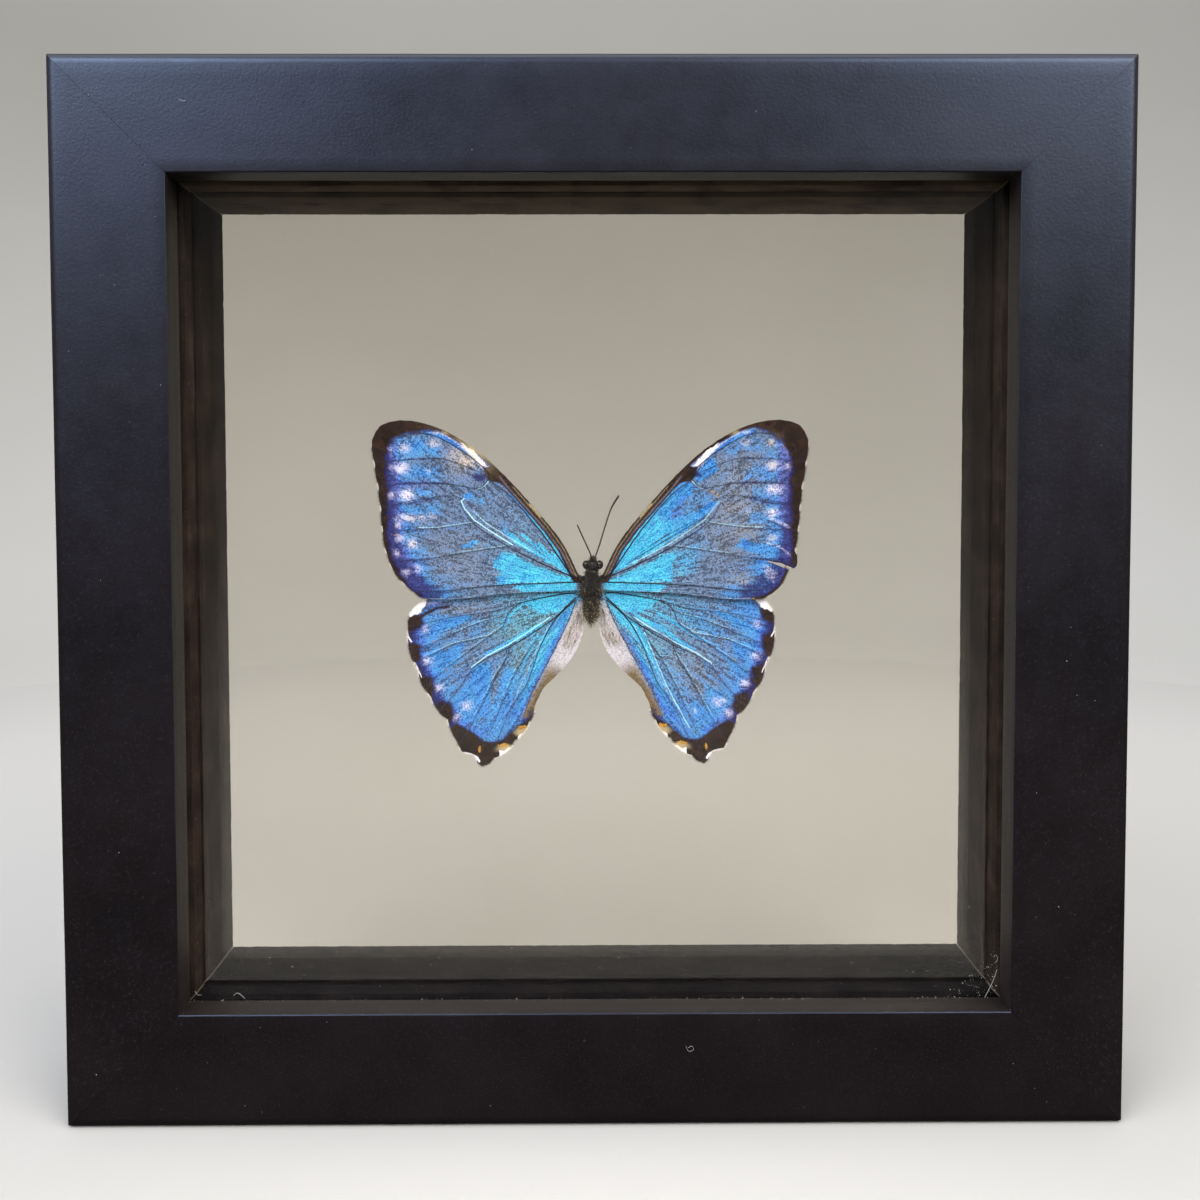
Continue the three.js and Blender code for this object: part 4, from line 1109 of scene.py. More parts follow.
# Weighted sums of fields and grain, each with what it starts from.
SUMS = {
    "grain": (0.0, {"speck": 0.28, "fleck": 0.38, "streak": 0.34}),
    "whole": (-0.73, {"bright": 1.0, "speck": 0.3, "fleck": 0.26, "streak": 0.3, "patches": 0.6}),
    "hue_at": (-0.26, {"hue": 1.0, "patches": 0.4, "speck": 0.12}),
    "dusk_at": (0.3, {"dusk": 1.0, "grain": -0.6}),
    "fold_at": (-0.2, {"fold": 1.0, "grain": 0.4}),
    "crease_shade_at": (0.0, {"crease": 0.75}),
    "glint_at": (-0.1, {"glint": 1.0, "grain": 0.2}),
    "pale_at": (-0.2, {"pale": 1.0, "grain": 0.4}),
    "dark_at": (-0.27, {"dark": 1.0, "speck": 0.22, "streak": 0.32}),
    "white_at": (-0.15, {"pale": 1.0, "grain": 0.3}),
    "gold_at": (-0.3, {"orange": 1.0, "grain": 0.6}),
    "vein_at": (0.0, {"vein": 0.4}),
    "height": (0.0, {"speck": 0.5, "streak": 1.0}),
}
for name, (total, weights) in SUMS.items():
    for source, weight in weights.items():
        total = add(tree, "ShaderNodeMath", {"operation": "MULTIPLY_ADD"},
                    {0: seen[source], 1: weight, 2: total})
    seen[name] = total
seen["intact"] = add(tree, "ShaderNodeMapRange", SMOOTH, {0: seen["whole"], 1: 0.14, 2: 0.8})
seen["dark_cream"] = add(tree, "ShaderNodeMath", {"operation": "MULTIPLY"},
                         {0: seen["cream"], 1: seen["dark"]})
seen["low_blue"] = add(tree, "ShaderNodeValToRGB", {"stops": [
    (0.0, "#0e8cc6"), (0.22, "#1262a6"), (0.6, "#18409a"), (0.8, "#222e82"), (1.0, "#28266c")]},
    {"Fac": seen["hue_at"]})
seen["high_blue"] = add(tree, "ShaderNodeValToRGB", {"stops": [
    (0.0, "#6cecff"), (0.22, "#5cb4ec"), (0.6, "#5490ee"), (0.8, "#6484de"), (1.0, "#767cce")]},
    {"Fac": seen["hue_at"]})

# Colours laid over one another: (result, what covers, its span and most cover or None, below, above).
LAYERS = [
    ("low_worn", "tone", (0.0, 1.0, 1.0), "#32425c", "#42464f"),
    ("low_worn", "tone", (0.0, -1.0, 1.0), "low_worn", "#33505a"),
    ("high_worn", "tone", (0.0, 1.0, 1.0), "#788cae", "#9a9eac"),
    ("high_worn", "tone", (0.0, -1.0, 1.0), "high_worn", "#7a94a2"),
    ("low", "intact", None, "low_worn", "low_blue"),
    ("high", "intact", None, "high_worn", "high_blue"),
    ("colour", "grain", (0.2, 0.8, 1.0), "low", "high"),
    ("colour", "dusk_at", (0.1, 1.0, 0.85), "colour", "#1c1858"),
    ("grey_fold", "grain", None, "#8c8690", "#e8e6ee"),
    ("brown_fold", "grain", None, "#23180f", "#8f7a54"),
    ("grey_fold", "brown", None, "grey_fold", "brown_fold"),
    ("colour", "fold_at", (0.15, 0.85, 1.0), "colour", "grey_fold"),
    # Painted shade in the creases: a dark blue line.
    ("colour", "crease_shade_at", None, "colour", "#20305c"),
    ("colour", "glint_at", (0.12, 0.7, 0.9), "colour", "#b9eeff"),
    ("low_pale", "cream", None, "#8e8cce", "#9c8f88"),
    ("high_pale", "cream", None, "#f4f0ff", "#ecdfce"),
    ("pale_scales", "grain", (0.2, 0.7, 1.0), "low_pale", "high_pale"),
    ("colour", "pale_at", (0.1, 1.45, 1.0), "colour", "pale_scales"),
    ("dark_scales", "grain", (0.3, 0.95, 1.0), "#140905", "#3e281d"),
    ("umber_scales", "grain", None, "#443a46", "#8c8290"),
    ("dark_scales", "umber", None, "dark_scales", "umber_scales"),
    ("dark_scales", "dark_cream", None, "dark_scales", "#d2bf95"),
    ("colour", "dark_at", (0.0, 0.45, 0.82), "colour", "#1a1250"),
    ("colour", "dark_at", (0.32, 0.68, 1.0), "colour", "dark_scales"),
    ("colour", "white_at", (1.3, 1.45, 0.92), "colour", "high_pale"),
    ("gold_scales", "grain", None, "#7c5416", "#cf9f44"),
    ("colour", "gold_at", (0.3, 0.8, 1.0), "colour", "gold_scales"),
    ("colour", "vein_at", None, "colour", "#1b1a30"),
]
for name, cover, span, below, above in LAYERS:
    cover = seen[cover]
    if span:
        cover = add(tree, "ShaderNodeMapRange", SMOOTH, {0: cover, 1: span[0], 2: span[1], 4: span[2]})
    seen[name] = add(tree, "ShaderNodeMix", MIX,
                     {0: cover, 6: seen.get(below, below), 7: seen.get(above, above)})

wing_rough = add(tree, "ShaderNodeMapRange", SMOOTH, {0: seen["intact"], 3: 0.62, 4: 0.45})
wing_bump = add(tree, "ShaderNodeBump",
                inputs={"Strength": 0.4, "Distance": 0.00006, "Height": seen["height"]})
wing_metal = add(tree, "ShaderNodeMath", {"operation": "MULTIPLY"}, {0: seen["intact"], 1: 0.1})
feed(tree, shader, {
    "Base Color": seen["colour"], "Roughness": wing_rough, "Metallic": wing_metal, "IOR": 1.56,
    "Specular IOR Level": 0.1, "Normal": wing_bump})

# The underside carries flat brown scales with paler bands and ringed eye spots, all matt.
brown_scales, tree, shader = new_material("brown_underside_scales")
where = add(tree, "ShaderNodeTexCoord").outputs["Object"]
band = add(tree, "ShaderNodeAttribute", {"attribute_name": "band"}).outputs["Fac"]
eye = add(tree, "ShaderNodeAttribute", {"attribute_name": "eye"}).outputs["Fac"]
specks = add(tree, "ShaderNodeTexNoise", inputs={
    "Vector": where, "Scale": 1 / (0.3 * MM), "Detail": 4.0, "Roughness": 0.7})
waves = add(tree, "ShaderNodeTexNoise", inputs={
    "Vector": where, "Scale": 1 / (3.5 * MM), "Detail": 3.0, "Roughness": 0.5})
band_at = -0.13
for source, weight in ((band, 1.0), (waves, 0.2), (specks, 0.06)):
    band_at = add(tree, "ShaderNodeMath", {"operation": "MULTIPLY_ADD"}, {0: source, 1: weight, 2: band_at})
under = add(tree, "ShaderNodeValToRGB", {"stops": [
    (0.0, "#3a2b22"), (0.07, "#a8957c"), (0.1, "#4a372a"), (0.2, "#5b4433"), (0.26, "#b8a890"),
    (0.3, "#604a38"), (0.55, "#6b5442"), (0.6, "#c2b399"), (0.66, "#6a5341"), (1.0, "#58432f")]},
    {"Fac": band_at})
eye_rings = add(tree, "ShaderNodeValToRGB", {"stops": [
    (0.0, "#e8e4d8"), (0.12, "#e8e4d8"), (0.16, "#14100f"), (0.55, "#1b1514"), (0.6, "#b98d45"),
    (0.8, "#c39a52"), (0.85, "#2b1f19"), (1.0, "#2b1f19")]}, {"Fac": eye})
within_eye = add(tree, "ShaderNodeMapRange", SMOOTH, {0: eye, 1: 1.02, 2: 0.96})
under = add(tree, "ShaderNodeMix", MIX, {0: within_eye, 6: under, 7: eye_rings})
dark_specks = add(tree, "ShaderNodeMapRange", SMOOTH, {0: specks, 1: 0.5, 2: 0.7, 4: 0.45})
under = add(tree, "ShaderNodeMix", MIX, {0: dark_specks, 6: under, 7: "#2c211b"})
under_bump = add(tree, "ShaderNodeBump", inputs={"Strength": 0.35, "Distance": 0.00005, "Height": specks})
feed(tree, shader, {
    "Base Color": under, "Roughness": 0.68, "IOR": 1.5, "Specular IOR Level": 0.15, "Normal": under_bump})


def even_outline(outline, pair):
    """The outline with even short steps and a little wear along its outer edge."""
    closed = np.vstack([outline, outline[:1]])
    steps = np.hypot(*np.diff(closed, axis=0).T)
    run = np.concatenate([[0], np.cumsum(steps)])
    count = int(run[-1] / SCALE_ROW)
    spots = np.linspace(0, run[-1], count, endpoint=False)
    line = np.stack([np.interp(spots, run, closed[:, 0]), np.interp(spots, run, closed[:, 1])], 1)
    worn = 0.07 * wander(line, 0.9, 2.3) + 0.06 * wander(line, 0.35, 6.1)
    ahead = np.roll(line, -1, 0) - np.roll(line, 1, 0)
    normal = np.stack([ahead[:, 1], -ahead[:, 0]], 1) / np.maximum(np.hypot(*ahead.T), 1e-9)[:, None]
    root = rise(4, 8, np.hypot(*line.T))
    return line + normal * (worn * EDGE_WEAR[pair] * root)[:, None]


def wing_net(outline):
    """Evenly spread points within the outline, joined into triangles: points, triangles and rim pairs."""
    low, high = outline.min(0), outline.max(0)
    columns = np.arange(low[0], high[0], SCALE_ROW)
    rows = np.arange(low[1], high[1], SCALE_ROW * 0.866)
    x, z = np.meshgrid(columns, rows)
    x = x + (np.arange(len(rows)) % 2)[:, None] * SCALE_ROW / 2
    points = np.stack([x.ravel(), z.ravel()], 1)
    points = points[inside(points, outline)]
    rim = np.vstack([outline, outline[:1]])
    points = points[line_distance(points, rim) > SCALE_ROW * 0.45]
    count = len(outline)
    every = [Vector(p) for p in np.vstack([outline, points])]
    net = delaunay_2d_cdt(every, [], [list(range(count))], 1, 1e-6)
    spread = np.array([tuple(p) for p in net[0]])
    triangles = np.array([list(t) for t in net[2]])
    a, b, c = (spread[triangles[:, k]] for k in range(3))
    area = (b[:, 0] - a[:, 0]) * (c[:, 1] - a[:, 1]) - (b[:, 1] - a[:, 1]) * (c[:, 0] - a[:, 0])
    triangles[area < 0] = triangles[area < 0][:, ::-1]
    sides = {}
    for t in triangles:
        for k in range(3):
            sides[(t[k], t[(k + 1) % 3])] = True
    rim_pairs = [pair for pair in sides if (pair[1], pair[0]) not in sides]
    return spread, triangles, rim_pairs


def two_sided(points, pair, hand, relief):
    """The upper side's places, then the under side's, half the wing's thickness to either side."""
    upper = wing_place(points, pair, hand, relief - WING_THICKNESS / 2)
    under = wing_place(points, pair, hand, relief + WING_THICKNESS / 2)
    return np.vstack([upper, under]).tolist()


def make_wing(pair, hand):
    """One wing: upper and under side, closed along its rim."""
    points, triangles, rim_pairs = wing_net(even_outline(np.array(OUTLINES[pair, hand]), pair))
    count = len(points)
    fields, near_vein = wing_fields(points, pair, hand)
    relief = -VEIN_RELIEF * (1 - rise(0.0, 1.6, near_vein)) + buckled(points)
    faces = [tuple(t) for t in triangles] + [tuple(count + v for v in t[::-1]) for t in triangles]
    faces += [(b, a, count + a, count + b) for a, b in rim_pairs]
    if hand == "left":
        faces = [f[::-1] for f in faces]
    wing = new_piece(f"{pair}_membrane_{hand}", two_sided(points, pair, hand, relief), faces)
    mesh = wing.data
    fields["band"] = line_distance(points, OUTER_EDGES[pair]) / 30
    fields["eye"] = np.full(count, 9.0)
    for x, z, radius in UNDERSIDE_EYES[pair]:
        away = np.hypot(points[:, 0] - x, points[:, 1] - z) / radius
        fields["eye"] = np.minimum(fields["eye"], away)
    for name, values in fields.items():
        put_numbers(mesh, name, np.tile(values, 2))
    # Streaks run out from the root, so the pattern is laid in a fan: the turn across, the reach along.
    turn = np.arctan2(points[:, 1] + 0.5, points[:, 0] + 2.0) * 22
    fan_points = np.tile(np.stack([turn, np.hypot(points[:, 0], points[:, 1])], 1), (2, 1))
    corners = np.zeros(len(mesh.loops), int)
    mesh.loops.foreach_get("vertex_index", corners)
    mesh.uv_layers.new(name="fan").data.foreach_set("uv", fan_points[corners].ravel())
    mesh.materials.append(morpho_scales)
    mesh.materials.append(brown_scales)
    slots = np.zeros(len(faces), int)
    slots[len(triangles):2 * len(triangles)] = 1
    mesh.polygons.foreach_set("material_index", slots)
    mesh.transform(Matrix.Scale(MM, 4) @ Matrix.Translation(BUTTERFLY))
    mesh.shade_smooth()
    mesh.set_sharp_from_angle(angle=math.radians(60))
    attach(wing, "root")
    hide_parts(f"{pair}_{hand}")
    return points, rim_pairs


def group_sockets(tree, inputs, output):
    for label, kind in inputs:
        tree.interface.new_socket(label, in_out="INPUT", socket_type=kind)
    tree.interface.new_socket(output, in_out="OUTPUT", socket_type="NodeSocketGeometry")
    return tree.nodes.new("NodeGroupInput").outputs


def run_tree(piece, tree, values, place):
    """Puts the node tree on the piece, sets its inputs by identifier, and makes the result a plain mesh."""
    modifier = piece.modifiers.new(tree.name, "NODES")
    modifier.node_group = tree
    for item in tree.interface.items_tree:
        if item.in_out == "INPUT" and item.name in values:
            modifier[item.identifier] = values[item.name]
    return make_plain(piece, place)


# Tubes along paths: the path's points carry their own half thickness.
tube_tree = bpy.data.node_groups.new("tube_along_path", "GeometryNodeTree")
given = group_sockets(tube_tree, [("Path", "NodeSocketGeometry"), ("Sides", "NodeSocketInt"),
                                  ("Finish", "NodeSocketMaterial")], "Tube")
curve = add(tube_tree, "GeometryNodeMeshToCurve", inputs={0: given["Path"]})
section = add(tube_tree, "GeometryNodeCurvePrimitiveCircle", inputs={0: given["Sides"], 4: 1.0})
half = add(tube_tree, "GeometryNodeInputNamedAttribute", {"data_type": "FLOAT"}, {0: "half_thickness"})
tube = add(tube_tree, "GeometryNodeCurveToMesh", inputs={0: curve, 1: section, 2: half.outputs[0], 3: True})
smooth = add(tube_tree, "GeometryNodeSetShadeSmooth", inputs={0: tube})
real = add(tube_tree, "GeometryNodeRealizeInstances", inputs={0: smooth})
coated = add(tube_tree, "GeometryNodeSetMaterial", inputs={0: real, 2: given["Finish"]})
add(tube_tree, "NodeGroupOutput", inputs={0: coated})


def make_tubes(name, paths, sides, material, place=BUTTERFLY):
    """One piece of several tubes. Each path is a list of (x, y, z, half thickness) around the place."""
    vertices, edges, half_sizes, along = [], [], [], []
    for path in paths:
        start = len(vertices)
        edges += [(start + k, start + k + 1) for k in range(len(path) - 1)]
        vertices += [p[:3] for p in path]
        half_sizes += [p[3] for p in path]
        along += [k / (len(path) - 1) for k in range(len(path))]
    piece = new_piece(name, vertices, [], edges)
    put_numbers(piece.data, "half_thickness", half_sizes)
    put_numbers(piece.data, "along", along)
    return run_tree(piece, tube_tree, {"Sides": sides, "Finish": material}, place)


# Chitin of the veins, dark and slightly glossy, a little browner towards the wing's edge.
vein_chitin, tree, shader = new_material("vein_chitin")
where = add(tree, "ShaderNodeTexCoord").outputs["Object"]
along = add(tree, "ShaderNodeAttribute", {"attribute_name": "along"}).outputs["Fac"]
specks = add(tree, "ShaderNodeTexNoise", inputs={
    "Vector": where, "Scale": 1 / (0.4 * MM), "Detail": 3.0, "Roughness": 0.6})
tone = -0.25
for source, weight in ((along, 1.0), (specks, 0.5)):
    tone = add(tree, "ShaderNodeMath", {"operation": "MULTIPLY_ADD"}, {0: source, 1: weight, 2: tone})
vein_colour = add(tree, "ShaderNodeValToRGB", {"stops": [
    (0.1, "#0a080c"), (0.5, "#12132a"), (0.9, "#2f3050")]}, {"Fac": tone})
vein_rough = add(tree, "ShaderNodeMapRange", SMOOTH, {0: specks, 1: 0.3, 2: 0.7, 3: 0.4, 4: 0.6})
feed(tree, shader, {
    "Base Color": vein_colour, "Roughness": vein_rough, "IOR": 1.56, "Specular IOR Level": 0.12})


def make_veins(pair, hand):
    paths = []
    for start, end, path in VEINS[pair]:
        line = np.array(smooth_path(path, 12 * (len(path) - 1)))
        share = np.linspace(0, 1, len(line))
        half = (start + (end - start) * share) / 2
        line = line + 0.05 * np.stack([wander(line, 2.0, 1.5), wander(line, 2.0, 7.5)], 1)
        spots = wing_place(line, pair, hand, -VEIN_RELIEF + buckled(line) - WING_THICKNESS / 2)
        paths.append([(*spot, size) for spot, size in zip(spots, half)])
    veins = make_tubes(f"{pair}_veins_{hand}", paths, 6, vein_chitin)
    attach(veins, "root")


# Hairs on a surface: short tapered bristles, combed one way, bent towards their tips.
hair_tree = bpy.data.node_groups.new("hairs_on_surface", "GeometryNodeTree")
given = group_sockets(hair_tree, [
    ("Surface", "NodeSocketGeometry"), ("Hairs", "NodeSocketFloat"), ("Length", "NodeSocketFloat"),
    ("Thickness", "NodeSocketFloat"), ("Comb", "NodeSocketVector"), ("Rise", "NodeSocketFloat"),
    ("Spread", "NodeSocketFloat"), ("Bend", "NodeSocketVector"), ("Seed", "NodeSocketInt"),
    ("Finish", "NodeSocketMaterial")], "Hair")
spread_points = add(hair_tree, "GeometryNodeDistributePointsOnFaces",
                    inputs={0: given["Surface"], 4: given["Hairs"], 6: given["Seed"]})
half_thick = add(hair_tree, "ShaderNodeMath", {"operation": "MULTIPLY"}, {0: given["Thickness"], 1: 0.5})
bristle = add(hair_tree, "GeometryNodeMeshCone",
              inputs={0: 3, 1: 3, 2: 1, 3: 0.0, 4: half_thick, 5: given["Length"]})
place = add(hair_tree, "GeometryNodeInputPosition")
place_parts = add(hair_tree, "ShaderNodeSeparateXYZ", inputs={0: place})
up_share = add(hair_tree, "ShaderNodeMath", {"operation": "DIVIDE"},
               {0: place_parts.outputs["Z"], 1: given["Length"]})
bristle = add(hair_tree, "GeometryNodeStoreNamedAttribute", {"data_type": "FLOAT", "domain": "POINT"},
              {0: bristle, 2: "along", 3: up_share})
away = add(hair_tree, "ShaderNodeVectorMath", {"operation": "SCALE"},
           {0: spread_points.outputs["Normal"], 3: given["Rise"]})
combed = add(hair_tree, "ShaderNodeVectorMath", {"operation": "ADD"}, {0: away, 1: given["Comb"]})
stray = add(hair_tree, "FunctionNodeRandomValue", {"data_type": "FLOAT_VECTOR"},
            {0: (-1, -1, -1), 1: (1, 1, 1), 8: given["Seed"]})
stray = add(hair_tree, "ShaderNodeVectorMath", {"operation": "SCALE"}, {0: stray, 3: given["Spread"]})
pointing = add(hair_tree, "ShaderNodeVectorMath", {"operation": "ADD"}, {0: combed, 1: stray})
turn = add(hair_tree, "FunctionNodeAlignRotationToVector", {"axis": "Z"}, {2: pointing})
size = add(hair_tree, "FunctionNodeRandomValue", {"data_type": "FLOAT"}, {2: 0.55, 3: 1.2, 8: 77})
planted = add(hair_tree, "GeometryNodeInstanceOnPoints",
              inputs={0: spread_points, 2: bristle, 5: turn, 6: size.outputs[1]})
real = add(hair_tree, "GeometryNodeRealizeInstances", inputs={0: planted})
share = add(hair_tree, "GeometryNodeInputNamedAttribute", {"data_type": "FLOAT"}, {0: "along"})
share = add(hair_tree, "ShaderNodeMath", {"operation": "POWER"}, {0: share.outputs[0], 1: 2.0})
bent = add(hair_tree, "ShaderNodeVectorMath", {"operation": "SCALE"}, {0: given["Bend"], 3: share})
real = add(hair_tree, "GeometryNodeSetPosition", inputs={0: real, 3: bent})
real = add(hair_tree, "GeometryNodeSetShadeSmooth", inputs={0: real})
coated = add(hair_tree, "GeometryNodeSetMaterial", inputs={0: real, 2: given["Finish"]})
add(hair_tree, "NodeGroupOutput", inputs={0: coated})


def make_hair(name, vertices, faces, settings, numbers=None):
    """Hair on a surface that is used up: only the hair stays. Hairs are counted for each square mm."""
    labels = ("Finish", "Hairs", "Length", "Thickness", "Comb", "Rise", "Spread", "Bend", "Seed")
    piece = new_piece(name, vertices, faces)
    for label, values in (numbers or {}).items():
        put_numbers(piece.data, label, values)
    run_tree(piece, hair_tree, dict(zip(labels, settings)), BUTTERFLY)
    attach(piece, "root")


# The fringe: a row of narrow scales on the rim, white where the hindwing has no black crescent.
fringe_scales, tree, shader = new_material("fringe_scales")
notch = add(tree, "ShaderNodeAttribute", {"attribute_name": "notch"}).outputs["Fac"]
where = add(tree, "ShaderNodeTexCoord").outputs["Object"]
specks = add(tree, "ShaderNodeTexNoise", inputs={"Vector": where, "Scale": 1 / (0.5 * MM), "Detail": 3.0})
tone = -0.25
for source, weight in ((notch, 1.0), (specks, 0.5)):
    tone = add(tree, "ShaderNodeMath", {"operation": "MULTIPLY_ADD"}, {0: source, 1: weight, 2: tone})
fringe_colour = add(tree, "ShaderNodeValToRGB", {"stops": [(0.35, "#1c1312"), (0.6, "#efe9da")]},
                    {"Fac": tone})
feed(tree, shader, {
    "Base Color": fringe_colour, "Roughness": 0.6, "Specular IOR Level": 0.2})

# Where the forewing's fringe is white, and where the hindwing's is black, with its reach.
FRINGE_WHITE = [(41.2, 24.2), (40.5, 19.8), (40.1, 15.6), (39.8, 11.6), (39.3, 7.4), (38.4, 4.6), (36, 1.2)]
FRINGE_BLACK = [(35.3, -6.2, 1.3), (35.1, -12, 1.9), (33, -18.3, 1.7), (29.4, -23.4, 2), (26.6, -28.2, 2.3),
                (20.8, -34.2, 1.9), (15.3, -29.6, 0.8), (11.5, -25, 1)]


def make_fringe(pair, hand, points, rim_pairs):
    middles = np.array([(points[a] + points[b]) / 2 for a, b in rim_pairs])
    gaps = line_distance(middles, OUTER_EDGES[pair])
    count = len(points)
    faces = [(b, a, count + a, count + b) for (a, b), gap in zip(rim_pairs, gaps) if gap < 0.8]
    if hand == "left":
        faces = [f[::-1] for f in faces]
    if pair == "forewing":
        white = np.zeros(count)
        for spot in FRINGE_WHITE:
            white = np.maximum(white, 1 - rise(0.3, 0.9, np.hypot(*(points - spot).T)))
    else:
        white = np.ones(count)
        for x, z, reach in FRINGE_BLACK:
            away = np.hypot(points[:, 0] - x, points[:, 1] - z)
            white = np.minimum(white, rise(reach - 0.3, reach + 0.4, away))
    make_hair(f"{pair}_fringe_{hand}", two_sided(points, pair, hand, np.zeros(count)), faces,
              (fringe_scales, 60.0, 0.42, 0.11, (0, 0, 0), 1.0, 0.28, (0, 0, 0), 5),
              {"notch": np.tile(white, 2)})


for hand in ("left", "right"):
    for pair in ("forewing", "hindwing"):
        wing_points, wing_rim = make_wing(pair, hand)
        make_veins(pair, hand)
        make_fringe(pair, hand, wing_points, wing_rim)

# ---- Body -----------------------------------------------------------------------------
# Head, thorax and ringed abdomen of dried cuticle grown together, with eyes, palps and folded legs.
# Only the thorax is held, by glue on its underside; everything else hangs from it.
BODY_Y = -4.45
HEAD_X = 0.43


def blob(shell, centre, radii, turn=0.0):
    """A ball, stretched and turned about the depth axis, added to the shell."""
    place = Matrix.Translation(centre) @ Matrix.Rotation(turn, 4, "Y") @ Matrix.Diagonal((*radii, 1))
    bmesh.ops.create_uvsphere(shell, u_segments=32, v_segments=20, radius=1.0, matrix=place)


body = new_piece("cuticle_body", [], [])
shell = bmesh.new()
blob(shell, (0, BODY_Y + 0.1, 0.2), (1.75, 1.5, 2.9))
for side in (-1, 1):
    blob(shell, (0.7 * side, BODY_Y - 0.45, 1.0), (1.0, 1.1, 1.8), -0.15 * side)
    blob(shell, (1.75 * side, WING_Y["forewing"] + 0.15, 1.6), (0.6, 0.38, 0.8), 0.35 * side)
    blob(shell, (1.7 * side, WING_Y["hindwing"] + 0.1, -1.0), (0.65, 0.38, 0.75))
    blob(shell, (HEAD_X + 0.33 * side, BODY_Y - 0.1, 5.6), (0.24, 0.34, 0.7), -0.12 * side)
blob(shell, (0.25, BODY_Y - 0.15, 3.1), (1.15, 1.05, 0.75))
blob(shell, (HEAD_X, BODY_Y - 0.1, 4.35), (1.3, 1.2, 1.1))
ABDOMEN_RINGS = [(-1.1, 1.2), (-1.95, 1.42), (-2.8, 1.45), (-3.65, 1.35), (-4.4, 1.16), (-5.1, 0.94),
                 (-5.75, 0.7), (-6.25, 0.45)]
for z, radius in ABDOMEN_RINGS:
    blob(shell, (0.1, BODY_Y + 0.1, z), (radius, radius, 0.62))
shell.to_mesh(body.data)
shell.free()
skin = body.modifiers.new("one_skin", "REMESH")
skin.mode = "VOXEL"
skin.voxel_size = 0.1
relax = body.modifiers.new("relax", "SMOOTH")
relax.iterations = 4

# Dried cuticle, nearly black with a brown cast, wrinkled as it shrank, with a dull gloss.
dry_cuticle, tree, shader = new_material("dried_cuticle")
where = add(tree, "ShaderNodeTexCoord").outputs["Object"]
wrinkles = add(tree, "ShaderNodeTexNoise", inputs={
    "Vector": where, "Scale": 1 / (0.5 * MM), "Detail": 5.0, "Roughness": 0.65})
stains = add(tree, "ShaderNodeTexNoise", inputs={"Vector": where, "Scale": 1 / (1.8 * MM), "Detail": 3.0})
stained = add(tree, "ShaderNodeMapRange", SMOOTH, {0: stains, 1: 0.35, 2: 0.65})
cuticle_colour = add(tree, "ShaderNodeMix", MIX, {0: stained, 6: "#0d0908", 7: "#211914"})
cuticle_rough = add(tree, "ShaderNodeMapRange", SMOOTH, {0: wrinkles, 1: 0.3, 2: 0.7, 3: 0.4, 4: 0.7})
cuticle_bump = add(tree, "ShaderNodeBump", inputs={"Strength": 0.6, "Distance": 0.00012, "Height": wrinkles})
feed(tree, shader, {
    "Base Color": cuticle_colour, "Roughness": cuticle_rough, "IOR": 1.56, "Specular IOR Level": 0.3,
    "Normal": cuticle_bump})

# The skin is kept around the thorax and in millimetres, for the hair to grow on.
skin_mesh = bpy.data.meshes.new_from_object(body.evaluated_get(bpy.context.evaluated_depsgraph_get()))
skin_places = [tuple(v.co) for v in skin_mesh.vertices]
skin_faces = [(tuple(f.vertices), tuple(f.center)) for f in skin_mesh.polygons]
make_plain(body, BUTTERFLY)
body.data.shade_smooth()
body.data.materials.append(dry_cuticle)
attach(body, "root")
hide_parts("body")

# Compound eyes: smooth domes of tiny facets, dark brown and as glossy as varnish.
facet_eye, tree, shader = new_material("compound_eye_facets")
where = add(tree, "ShaderNodeTexCoord").outputs["Object"]
facets = add(tree, "ShaderNodeTexVoronoi", inputs={"Vector": where, "Scale": 1 / (0.07 * MM)})
eye_tone = add(tree, "ShaderNodeTexNoise", inputs={"Vector": where, "Scale": 1 / (0.8 * MM)})
eye_colour = add(tree, "ShaderNodeMix", MIX, {0: eye_tone, 6: "#090707", 7: "#1d1512"})
eye_bump = add(tree, "ShaderNodeBump", inputs={"Strength": 0.3, "Distance": 0.00001, "Height": facets})
feed(tree, shader, {
    "Base Color": eye_colour, "Roughness": 0.12, "IOR": 1.56, "Normal": eye_bump})
for hand, side in (("left", -1), ("right", 1)):
    eye = new_piece(f"compound_eye_{hand}", [], [])
    shell = bmesh.new()
    blob(shell, (HEAD_X + 1.28 * side, BODY_Y - 0.2, 4.6), (0.76, 0.86, 0.86), 0.15 * side)
    shell.to_mesh(eye.data)
    shell.free()
    make_plain(eye, BUTTERFLY)
    eye.data.shade_smooth()
    eye.data.materials.append(facet_eye)
    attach(eye, "root")

# Two pairs of folded walking legs: each part's half thickness at both ends, from the hip outwards.
LEG_Y = BODY_Y + 1.35
LEG_STEPS = 8
LEG_PARTS = ((0.27, 0.2), (0.17, 0.12), (0.11, 0.06))
leg_paths = []
for side in (-1, 1):
    for rank in (0, 1):
        joints = [(0.8 * side, LEG_Y - 0.2, 1.6 - 2.2 * rank), (3.7 * side, LEG_Y + 0.3, 2.9 - 2.4 * rank),
                  (1.7 * side, LEG_Y + 0.6, -1.9 - 2.3 * rank), (2.6 * side, LEG_Y + 0.5, -4.4 - 2.6 * rank)]
        leg = []
        for start, end, (thick, thin) in zip(joints, joints[1:], LEG_PARTS):
            for k in range(LEG_STEPS):
                t = k / LEG_STEPS
                half = (thick + (thin - thick) * t) * (1 + 0.25 * math.sin(math.pi * t))
                leg.append((*(a + (b - a) * t for a, b in zip(start, end)), half))
        leg.append((*joints[-1], 0.05))
        leg_paths.append(leg)
legs = make_tubes("folded_legs", leg_paths, 8, dry_cuticle)
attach(legs, "root")

